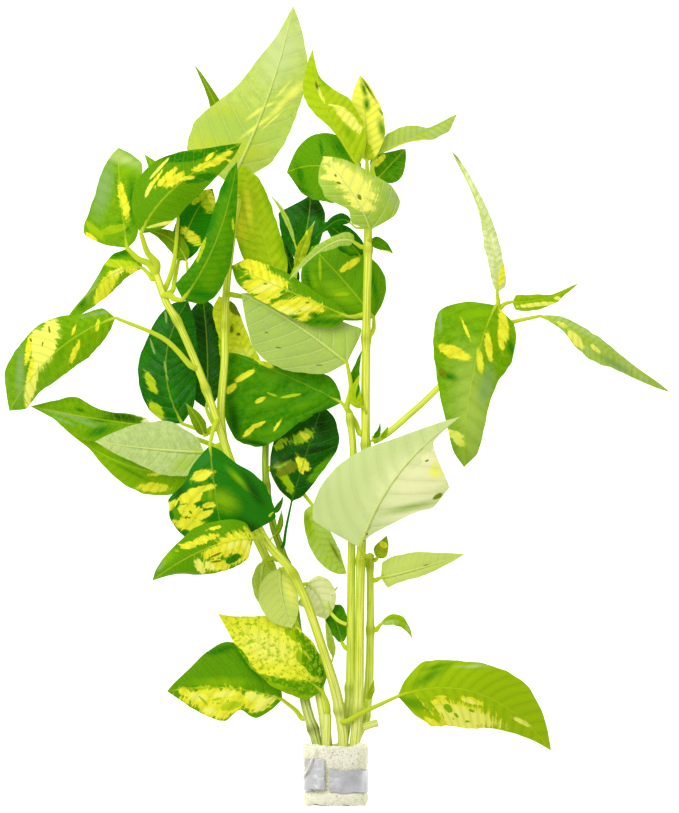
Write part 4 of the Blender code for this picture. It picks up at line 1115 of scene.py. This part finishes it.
leaf("front_pale_leaf", (13.9, -64.3, 24.9), (9, -60.5, 36.5), (25, -29.5, 45), (51.5, -5, 41),
     26, 21, (GREEN, BRIGHT_GREEN), widest=(0.12, 0.55), point=(1.15, 2), rise=(-5, -3),
     waves=(1, 2.5), flipped=True, under=(PALE_UNDER, PALE_UNDER),
     edges=([(335, 538), (311, 515), (316, 495), (327, 478), (352, 455), (385, 442), (425, 427)],
            [(385, 527), (415, 512), (443, 499), (449, 480), (440, 458), (433, 442)]),
     zones=[
      (CREAM, 0.6, [(392, 500, 442, 466, 27), (385, 520, 425, 505, 10)]),
      (PALE_YELLOW, 0.6, [(428, 458, 440, 480, 7)]),
      (CREAM, 1.6, [(412, 478, 436, 452, 6), (404, 494, 424, 482, 5), (430, 486, 444, 478, 4)]),
      (GREY_UNDER, 0.6, [(388, 512, 432, 502, 4)]),
      (OLIVE, 0.9, [(434, 498, 441, 494, 2.4), (362, 540, 365, 541, 1),
          (365, 532, 367, 534, 1), (425, 461, 428, 460, 1)])])
leaf("right_low_leaf", (16.2, -74.5, 19.2), (18, -73.5, 21), (34.5, -69.5, 23),
     (54, -63.5, 17), 5, 5.5, (GREEN, BRIGHT_GREEN), point=(1, 1), waves=(0.4, 2),
     flipped=True, under=(FRESH_UNDER, FRESH_UNDER),
     edges=([(380, 566), (393, 557), (410, 553), (440, 553)],
            [(378, 590), (395, 584), (420, 577), (445, 566)]),
     zones=[
      (LIME, 0.5, [(376, 572, 384, 586, 5)]),
      (OLIVE, 0.6, [(382, 576, 384, 577, 0.9), (424, 566, 428, 565, 0.9)])])
leaf("small_olive_leaf", (15.7, -66, 22.3), (16.5, -65, 24), (18.5, -61, 26),
     (20.5, -55.5, 27), 3.2, 3.2, (OLIVE, LIME),
     zones=[
      (YELLOW, 0.8, [(381, 543, 386, 546, 3)])])
leaf("small_curled_leaf", (16.2, -96, 14.5), (18, -93.5, 15.5), (26, -92, 17),
     (31.5, -100, 13), 2.3, 2.5, (BRIGHT_GREEN, LIME_GREEN),
     zones=[
      (PALE_GREEN, 0.5, [(382, 624, 396, 623, 3), (406, 626, 410, 632, 2)])])

# Leaves near the collar
leaf("lower_left_front_leaf", (-4.5, -130.5, 13.5), (-7, -122, 15), (-27.5, -106.5, 17),
     (-51.5, -89, 12), 12.5, 13, (YELLOW, YELLOW), widest=(0.35, 0.42), point=(0.75, 0.75),
     rise=(-1, -1), waves=(0.9, 2.5), specks=LIME_GREEN,
     edges=([(305, 701), (285, 693), (268, 685), (252, 670), (240, 655), (230, 638)],
            [(330, 680), (322, 660), (308, 637), (290, 622), (268, 616), (240, 618)]),
     zones=[
      (PALE_YELLOW, 0.6, [(250, 640, 285, 655, 14)]),
      (BRIGHT_GREEN, 0.8, [(258, 685, 326, 697, 10), (240, 661, 262, 684, 4.5)]),
      (GREEN, 1.3, [(258, 676, 300, 688, 3), (296, 688, 328, 690, 7), (236, 648, 248, 664, 2.5)]),
      (LIME_GREEN, 2, [(288, 632, 300, 640, 4), (296, 652, 306, 664, 5)]),
      (GREEN, 1.4, [(300, 636, 316, 660, 5), (304, 660, 318, 676, 5)]),
      (DARK_GREEN, 0.6, [(314, 652, 328, 690, 7), (322, 690, 330, 695, 5)])])
leaf("lower_right_leaf", (3, -135, 18), (25, -124, 24), (60, -123, 24), (91, -148, 0.3), 14,
     16, (LIME_GREEN, LIME_GREEN), widest=(0.38, 0.35), point=(0.85, 0.85), rise=(-2, -2),
     waves=(0.9, 2),
     edges=([(403, 683), (415, 672), (432, 660), (465, 662), (500, 668), (525, 683),
             (540, 706), (549, 735)],
            [(410, 712), (435, 727), (475, 732), (500, 728), (520, 738), (538, 744)]),
     zones=[
      (GREEN, 0.6, [(402, 700, 430, 708, 6), (415, 685, 445, 668, 5), (425, 670, 450, 664, 3)]),
      (LIME_GREEN, 0.5, [(470, 688, 525, 692, 14), (490, 715, 535, 728, 10)]),
      (PALE_GREEN, 0.5, [(458, 667, 490, 666, 1.6)]),
      (YELLOW, 2, [(438, 706, 492, 724, 10), (446, 722, 480, 728, 7), (432, 703, 442, 700, 3),
          (462, 698, 482, 704, 3), (436, 697, 446, 697, 1.6), (426, 720, 440, 726, 3)]),
      (PALE_YELLOW, 1.6, [(444, 710, 490, 723, 8), (450, 722, 476, 728, 5),
          (464, 700, 476, 704, 2)]),
      (BRIGHT_GREEN, 1, [(446, 706, 450, 711, 3), (470, 710, 474, 712, 1.5),
          (455, 714, 458, 717, 1.5), (466, 722, 470, 722, 1)]),
      (PALE_YELLOW, 0.8, [(514, 719, 530, 727, 2.2)])])

# Leaves of the side branch
leaf("branch_broad_leaf", (67.5, 39, 24), (67, 42.5, 27), (57, 12, 31), (53.5, -26.5, 18), 14,
     23, (GREEN, BRIGHT_GREEN), widest=(0.35, 0.15), point=(0.65, 0.9), rise=(-3, -5),
     waves=(0.9, 2),
     edges=([(510, 318), (517, 335), (512, 360), (498, 382), (490, 402), (484, 430), (477, 455)],
            [(475, 302), (450, 305), (437, 315), (433, 350), (437, 375), (441, 400),
             (448, 430), (456, 458)]),
     zones=[
      (BRIGHT_GREEN, 0.5, [(465, 315, 490, 312, 7), (470, 335, 480, 350, 5)]),
      (LIME_UNDER, 0.5, [(468, 365, 474, 465, 20)]),
      # painted sheen
      (PAINTED_SHEEN_GREEN, 0.5, [(490, 372, 482, 400, 6), (440, 312, 440, 332, 2)]),
      (DARK_GREEN, 0.6, [(508, 340, 514, 355, 4), (445, 375, 455, 378, 4)]),
      (YELLOW, 1.1, [(440, 347, 466, 357, 5.5), (462, 320, 470, 340, 1.6),
          (487, 334, 490, 360, 3.2), (479, 352, 481, 370, 3.4), (502, 312, 505, 340, 5),
          (500, 330, 502, 350, 3)]),
      (PALE_YELLOW, 0.9, [(447, 432, 462, 437, 4), (456, 440, 463, 444, 3.5)]),
      (OLIVE, 0.9, [(441, 370, 444, 376, 3)])])
leaf("branch_narrow_leaf", (68, 44, 22), (67.5, 48, 23), (63.5, 74.5, 21), (48, 109, 8), 3,
     3.8, (PALE_GREEN, CREAM),
     edges=([(493, 285), (485, 250), (480, 218), (470, 182), (462, 166)],
            [(506, 285), (503, 258), (496, 230), (486, 205), (475, 183), (465, 165)]),
     zones=[
      (YELLOW, 0.9, [(500, 285, 504, 265, 3)]),
      (CREAM, 0.6, [(468, 178, 474, 190, 2), (491, 235, 494, 255, 2)]),
      (OLIVE, 0.5, [(466, 165, 470, 170, 1.6), (453, 149, 460, 160, 1)])])
leaf("branch_small_leaf", (70.5, 43, 20.5), (74, 44, 20), (87, 45.5, 18), (102.5, 52, 12), 2.5,
     3.2, (BRIGHT_GREEN, LIME_GREEN), point=(0.9, 0.9),
     edges=([(513, 294), (535, 294), (560, 292)],
            [(515, 309), (535, 310), (555, 303), (568, 293)]),
     zones=[
      (PALE_YELLOW, 0.8, [(520, 306, 556, 302, 2.2), (555, 298, 560, 298, 2)])])
leaf("branch_far_leaf", (65, 30, 19.5), (86, 38, 22), (112, 25, 21), (142, 5.5, 0.3), 5.5, 5.5,
     (LIME_GREEN, PALE_GREEN), widest=(0.5, 0.55), point=(1.3, 1.3), rise=(-1, -1),
     waves=(0.5, 3),
     edges=([(552, 315), (572, 320), (598, 336), (630, 361), (652, 378)],
            [(555, 325), (568, 335), (582, 354), (600, 365), (622, 371), (645, 383)]),
     zones=[
      (PALE_GREEN, 0.5, [(560, 318, 610, 345, 2.2), (615, 350, 645, 378, 2.5)]),
      (PALE_YELLOW, 0.9, [(570, 332, 582, 346, 4), (558, 322, 566, 326, 2),
          (592, 345, 600, 352, 2)]),
      # painted sheen
      (PAINTED_SHEEN_GREEN, 0.5, [(600, 355, 630, 372, 3)])])


# Small leaves at the joints and among the shoots, too small for a solid of their own

SMALL_SHARES = (0.5, 0.85, 1.0, 0.95, 0.75, 0.45, 0.2)


def small_leaf(name, spots, width, tones, slot, thick, zones=()):
    """A leaf or bud that is too small for a solid of its own. spots are where its stalk starts,
    where its blade begins, its middle and its tip: a pixel of the photograph and the height in
    mm. width is its largest half width in pixels."""
    places = [(*(round(side, 1) for side in from_photo(x, y)), z) for x, y, z in spots]
    widths = tuple(round(width * MM_PER_PIXEL * share, 1) for share in SMALL_SHARES)
    leaf(name, *places, widths, widths, tones, zones=zones, thick=thick, slot=slot)


small_leaf("left_shoot_small_leaf", [(188, 285, 38), (187, 262, 39), (172, 240, 37),
           (147, 231, 36)], 9, (OLIVE, GREEN), "olive_leaf", 0.7)
small_leaf("shoot_sliver_leaf", [(297, 250, 20), (294, 241, 21), (284, 214, 22),
           (271, 196, 21)], 2.6, (LIME, PALE_GREEN), "light_leaf", 0.4)
small_leaf("right_joint_leaf", [(367, 240, 44), (371, 241, 44), (381, 245, 43),
           (393, 254, 40)], 6, (DARK_GREEN, GREEN), "green_leaf", 0.6,
           zones=[(YELLOW, 1.2, [(376, 253, 390, 254, 3)])])
small_leaf("right_back_leaf", [(356, 228, 38), (350, 223, 36), (336, 221, 34), (316, 238, 31)],
           6, (DEEP_GREEN, DARK_GREEN), "dark_leaf", 0.5)
small_leaf("middle_back_leaf", [(368, 268, 28), (362, 258, 27), (343, 236, 26),
           (322, 222, 24)], 12, (DEEP_GREEN, DARK_GREEN), "dark_leaf", 0.5,
           zones=[(GREEN, 0.6, [(345, 246, 356, 252, 4)])])
# A leaf behind the shoot, coloured near-black as painted shade where the bunch is deepest
small_leaf("shoot_back_leaf", [(300, 292, 14), (297, 284, 15), (289, 262, 16), (281, 232, 14)],
           6.5, (DARKEST, DEEP_GREEN), "dark_leaf", 0.5)
small_leaf("bud_leaf_left", [(371, 441, 36), (373, 438, 37), (378, 432, 38), (380, 423, 39)],
           2.6, (DARK_GREEN, GREEN), "green_leaf", 0.4)
small_leaf("bud_leaf_right", [(379, 441, 35), (381, 438, 36), (385, 433, 37), (388, 426, 37)],
           2.6, (GREEN, LIME_GREEN), "green_leaf", 0.4)
small_leaf("foot_bud_leaf", [(366, 706, 16), (368, 701, 17), (371, 692, 18), (374, 681, 18)],
           3.4, (OLIVE, LIME), "light_leaf", 0.5)
small_leaf("side_tooth_leaf", [(271, 514, 41), (273, 512, 42), (279, 506, 43), (283, 496, 42)],
           3, (DEEP_GREEN, DARK_GREEN), "dark_leaf", 0.4)
small_leaf("side_scale_leaf", [(270, 540, 30), (273, 536, 31), (280, 525, 32), (281, 510, 31)],
           3.4, (OLIVE, GREEN), "olive_leaf", 0.4)
small_leaf("joint_lime_leaf", [(366, 413, 36), (363, 407, 38), (355, 395, 39), (360, 374, 38)],
           6.5, (LIME_GREEN, LIME), "light_leaf", 0.5,
           zones=[(DARK_GREEN, 0.8, [(356, 398, 359, 385, 1.5)])])
small_leaf("joint_dark_leaf", [(356, 396, 34), (355, 391, 34), (355, 375, 33), (362, 350, 31)],
           4.5, (DARK_GREEN, GREEN), "dark_leaf", 0.5)
small_leaf("pale_spike_leaf", [(328, 601, 16), (330, 598, 16), (333, 593, 16), (338, 587, 16)],
           1.6, (GREEN, LIME_GREEN), "green_leaf", 0.3)
small_leaf("foot_small_leaf", [(331, 664, 14), (333, 658, 14), (330, 640, 13), (325, 620, 12)],
           4, (PALE_GREEN, LIME), "light_leaf", 0.4)


# Foam collar
# A short roll of cream foam pressed round the cut ends, roughly cut at both ends and
# pinched in the middle by the metal strip.

COLLAR_CENTRE_X = -1.3
COLLAR_WIDTH = 28.5
COLLAR_HEIGHT = 22.4
COLLAR_PRESSED = 1.2
COLLAR_SQUARENESS = 0.8
COLLAR_TOP = -145.0
COLLAR_END = -170.5
BORE_INSET = 3.2
STRIP_TOP = -155.6
STRIP_END = -165.0
PINCH = 1.3
FOAM_AROUND = 128
THREAD_RADIUS = 0.45


def soft_rectangle(turn, inset, pressed=COLLAR_PRESSED):
    """A point (x, z) of the collar's rounded outline, turned counter-clockwise from the top."""
    angle = 2 * math.pi * turn + math.pi / 2
    across, upward = math.cos(angle), math.sin(angle)
    x = COLLAR_CENTRE_X + (COLLAR_WIDTH / 2 - inset) * math.copysign(
        abs(across) ** COLLAR_SQUARENESS, across)
    half = (COLLAR_HEIGHT + pressed) / 2
    z = (COLLAR_HEIGHT - pressed) / 2 + (half - inset) * math.copysign(
        abs(upward) ** COLLAR_SQUARENESS, upward)
    return x, max(z, min(inset, 0.5 * inset + 0.2))


foam_finish, foam_tree, foam_shader = new_finish("cream foam", roughness=0.9, specular=0.1)
foam_place = put(foam_tree, "ShaderNodeTexCoord").outputs["Object"]
foam_pores = put(foam_tree, "ShaderNodeTexVoronoi", {"Vector": foam_place, "Scale": 1500.0})
foam_grit = clouds(foam_tree, foam_place, 650.0, 3.0, 0.7)
foam_stain = clouds(foam_tree, foam_place, 130.0, 3.0, 0.6)
foam_colour = tint(foam_tree, spread(foam_tree, foam_stain, 0.4, 0.7), (0.99, 0.96, 0.76),
                   (0.92, 0.92, 0.64))
foam_colour = tint(foam_tree, spread(foam_tree, foam_grit, 0.56, 0.68, 0.0, 0.6), foam_colour,
                   (0.42, 0.42, 0.36))
# Painted shade: the foam is darker towards the middle of each pore, where its hollow lies; the
# same pores also give the bumps
foam_pore = spread(foam_tree, foam_pores.outputs["Distance"], 0.0, 0.45, 0.0, 1.0)
foam_colour = tint(foam_tree, sums(foam_tree, "MULTIPLY", sums(
    foam_tree, "SUBTRACT", 1.0, foam_pore), 0.25), foam_colour, (0.50, 0.48, 0.36))
foam_rough = spread(foam_tree, foam_grit, 0.3, 0.7, 0.8, 1.0)
foam_height = sums(foam_tree, "ADD", foam_pore, foam_grit)
dress(foam_tree, foam_shader, foam_colour, foam_rough, foam_height, 0.8, 0.0004)

# From the inner wall at the top over the rim and the outer wall to the inner wall at the end
foam_profile = [(BORE_INSET, COLLAR_TOP - 2.5), (BORE_INSET, COLLAR_TOP - 0.8),
                (BORE_INSET - 0.6, COLLAR_TOP), (1.4, COLLAR_TOP + 0.1), (0.4, COLLAR_TOP - 0.5),
                (0.0, COLLAR_TOP - 1.6), (0.0, COLLAR_TOP - 4.5), (0.1, COLLAR_TOP - 7.5),
                (0.6, STRIP_TOP + 1.0), (PINCH, STRIP_TOP - 0.4), (PINCH, STRIP_TOP - 2.6),
                (PINCH, STRIP_TOP - 4.7), (PINCH, STRIP_END + 2.4), (PINCH, STRIP_END + 0.4),
                (0.5, STRIP_END - 0.8), (0.0, STRIP_END - 2.0), (0.2, COLLAR_END + 1.4),
                (0.6, COLLAR_END + 0.4), (1.6, COLLAR_END), (BORE_INSET - 0.6, COLLAR_END + 0.1),
                (BORE_INSET, COLLAR_END + 0.9), (BORE_INSET, COLLAR_END + 3.0),
                (BORE_INSET + 0.3, STRIP_END + 4.0), (BORE_INSET + 0.3, STRIP_TOP),
                (BORE_INSET, COLLAR_TOP - 2.5)]
bm = bmesh.new()
foam_ring = bmesh.ops.create_grid(bm, x_segments=FOAM_AROUND, y_segments=len(foam_profile) - 1,
                                  size=0.5)["verts"]
for vert in foam_ring:
    inset, y = foam_profile[round((vert.co.y + 0.5) * (len(foam_profile) - 1))]
    x, z = soft_rectangle(vert.co.x + 0.5, inset)
    spot = Vector((x, y, z))
    lump = noise.noise(spot / 3.2) + 0.5 * noise.noise(spot / 1.1)
    outer = max(0.0, 1.0 - inset / BORE_INSET)
    inward = Vector((COLLAR_CENTRE_X - x, 0.0, COLLAR_HEIGHT / 2 - z)).normalized()
    spot += inward * (0.35 + 0.35 * lump) * outer
    cut_edge = max(0.0, 1.0 - min(abs(y - COLLAR_TOP), abs(y - COLLAR_END)) / 4.0)
    wave = Vector((x / 5.5, z / 5.5, 3.0 if y > -158 else 9.0))
    spot.y += cut_edge * (1.5 * noise.noise(wave) + 0.5 * noise.noise(wave * 3.0))
    spot.z = max(spot.z, 0.25)
    vert.co = spot
bmesh.ops.remove_doubles(bm, verts=bm.verts, dist=0.01)
bmesh.ops.recalc_face_normals(bm, faces=bm.faces)
bmesh.ops.subdivide_edges(bm, edges=bm.edges, cuts=1, use_grid_fill=True, smooth=0.4)
add_piece("foam_roll", bm, foam_finish, "foam_collar")

thread_route = smooth_route([(-9.4, -146.5, 22.6), (-11.0, -150.0, 23.6), (-12.8, -154.5, 23.0),
                             (-14.9, -158.8, 19.0)], 0.8)
bm = bmesh.new()
bm.loops.layers.uv.new("UVMap")
add_tube(bm, thread_route, [THREAD_RADIUS] * len(thread_route), 8)
add_piece("foam_thread", bm, foam_finish, None)


# Metal strip
# Soft grey sheet metal, wrapped once round the foam by hand and crumpled by it. Its longer
# end is folded flat into a tab at the front left.

STRIP_THICKNESS = 0.45
TAB_LEFT = -14.4
TAB_RIGHT = -6.0
TAB_TOP = -150.6
TAB_END = -163.6
STRIP_STARTS = 0.02
STRIP_ENDS = 0.123

strip_finish, strip_tree, strip_shader = new_finish("soft grey metal", roughness=0.5,
                                                    specular=0.5)
strip_shader.inputs["Metallic"].default_value = 0.5
strip_place = put(strip_tree, "ShaderNodeTexCoord").outputs["Object"]
strip_brushed = put(strip_tree, "ShaderNodeMapping", {"Vector": strip_place,
                                                      "Scale": (1.0, 7.0, 1.0)})
strip_scratches = clouds(strip_tree, strip_brushed.outputs[0], 420.0, 4.0, 0.7)
strip_dull = clouds(strip_tree, strip_place, 160.0, 4.0, 0.6)
strip_creases = put(strip_tree, "ShaderNodeTexVoronoi", {"Vector": strip_place, "Scale": 330.0},
                    feature="DISTANCE_TO_EDGE").outputs["Distance"]
strip_colour = tint(strip_tree, spread(strip_tree, strip_dull, 0.38, 0.66),
                    (0.68, 0.68, 0.68), (0.55, 0.55, 0.56))
strip_colour = tint(strip_tree, spread(strip_tree, strip_scratches, 0.55, 0.7, 0.0, 0.5),
                    strip_colour, (0.84, 0.84, 0.84))
strip_rough = spread(strip_tree, strip_dull, 0.3, 0.7, 0.38, 0.62)
strip_height = sums(strip_tree, "ADD", sums(strip_tree, "MULTIPLY", strip_scratches, 0.35),
                    spread(strip_tree, strip_creases, 0.0, 0.25, 0.0, 0.4))
dress(strip_tree, strip_shader, strip_colour, strip_rough, strip_height, 0.5, 0.00025)

bm = bmesh.new()
band = bmesh.ops.create_grid(bm, x_segments=150, y_segments=14, size=0.5)["verts"]
for vert in band:
    turn = STRIP_STARTS - (1.0 + STRIP_STARTS - STRIP_ENDS) * (vert.co.x + 0.5)
    x, z = soft_rectangle(turn, 0.3)
    y = STRIP_END + (STRIP_TOP - STRIP_END) * (vert.co.y + 0.5)
    y += 0.45 * noise.noise(Vector((x / 5.0, z / 5.0, 1.0))) + (0.3 if x < 0 else -0.25)
    spot = Vector((x, y, z))
    crumple = 0.6 * abs(noise.noise(spot / 2.6)) + 0.5 * noise.noise(spot / 6.0)
    inward = Vector((COLLAR_CENTRE_X - x, 0.0, COLLAR_HEIGHT / 2 - z)).normalized()
    spot += inward * 0.55 * crumple
    spot.z = max(spot.z, 0.05)
    vert.co = spot
bmesh.ops.recalc_face_normals(bm, faces=bm.faces)
if sum(face.normal.z * (face.calc_center_median().z - 10.0) for face in bm.faces) < 0:
    bmesh.ops.reverse_faces(bm, faces=bm.faces)
thicken(bm, bm.faces[:], STRIP_THICKNESS)
tab = bmesh.ops.create_grid(bm, x_segments=22, y_segments=30, size=0.5)["verts"]
for vert in tab:
    across, upward = vert.co.x + 0.5, vert.co.y + 0.5
    x = TAB_LEFT + (TAB_RIGHT - TAB_LEFT) * across + 0.25 * noise.noise(
        Vector((upward * 3.0, 5.0, 0.0)))
    y = TAB_END + (TAB_TOP - TAB_END) * upward + 0.2 * noise.noise(
        Vector((across * 3.0, 11.0, 0.0)))
    height = COLLAR_HEIGHT + 0.95 - 4.0 * (1 - across) ** 2.4
    height += 0.18 * noise.noise(Vector((x / 3.0, y / 3.0, 2.0)))
    vert.co = Vector((x, y, height))
tab_faces = list({face for vert in tab for face in vert.link_faces})
thicken(bm, tab_faces, STRIP_THICKNESS * 1.6)
bmesh.ops.recalc_face_normals(bm, faces=bm.faces)
add_piece("metal_band", bm, strip_finish, "metal_strip")


# Stage
# A plain white table, soft light from all around and a long lens straight above the bunch.

FRAME_HEIGHT = 0.3455
LENS = 400.0
SENSOR = 36.0
FRAME_MIDDLE = (0.0004, -0.0006)
FOCUS_HEIGHT = 0.03
ROOM_LIGHT = 0.57
SOFTBOX_POWER = 6.8
SOFTBOX_PLACE = (-0.38, 0.42, 0.93)
TABLE_GLOW = 0.8
TABLE_GAP = 0.0002

bpy.context.scene.view_settings.view_transform = "Standard"
camera = bpy.data.objects.new("camera", bpy.data.cameras.new("camera"))
camera.data.lens = LENS
camera.data.sensor_width = SENSOR
camera.location = (*FRAME_MIDDLE, FOCUS_HEIGHT + LENS * FRAME_HEIGHT / SENSOR)
bpy.context.scene.collection.objects.link(camera)
bpy.context.scene.camera = camera

world = bpy.data.worlds.new("studio")
world.use_nodes = True
room_light = world.node_tree.nodes["Background"].inputs
room_light["Color"].default_value = (1.0, 1.0, 1.0, 1.0)
room_light["Strength"].default_value = ROOM_LIGHT
bpy.context.scene.world = world

lamp = bpy.data.objects.new("softbox", bpy.data.lights.new("softbox", "AREA"))
lamp.data.shape = "RECTANGLE"
lamp.data.size = 0.9
lamp.data.size_y = 0.6
lamp.data.energy = SOFTBOX_POWER
lamp.location = SOFTBOX_PLACE
lamp.rotation_euler = (-lamp.location).to_track_quat("-Z", "Y").to_euler()
bpy.context.scene.collection.objects.link(lamp)

bm = bmesh.new()
bmesh.ops.create_grid(bm, x_segments=1, y_segments=1, size=1.5)
floor_mesh = bpy.data.meshes.new("table")
bm.to_mesh(floor_mesh)
bm.free()
floor = bpy.data.objects.new("table", floor_mesh)
floor_finish, _, floor_shader = new_finish("white table", roughness=0.9)
floor_shader.inputs["Base Color"].default_value = (0.85, 0.85, 0.85, 1.0)
floor_shader.inputs["Emission Color"].default_value = (1.0, 1.0, 1.0, 1.0)
floor_shader.inputs["Emission Strength"].default_value = TABLE_GLOW
floor_mesh.materials.append(floor_finish)
floor.location.z = -TABLE_GAP
bpy.context.scene.collection.objects.link(floor)
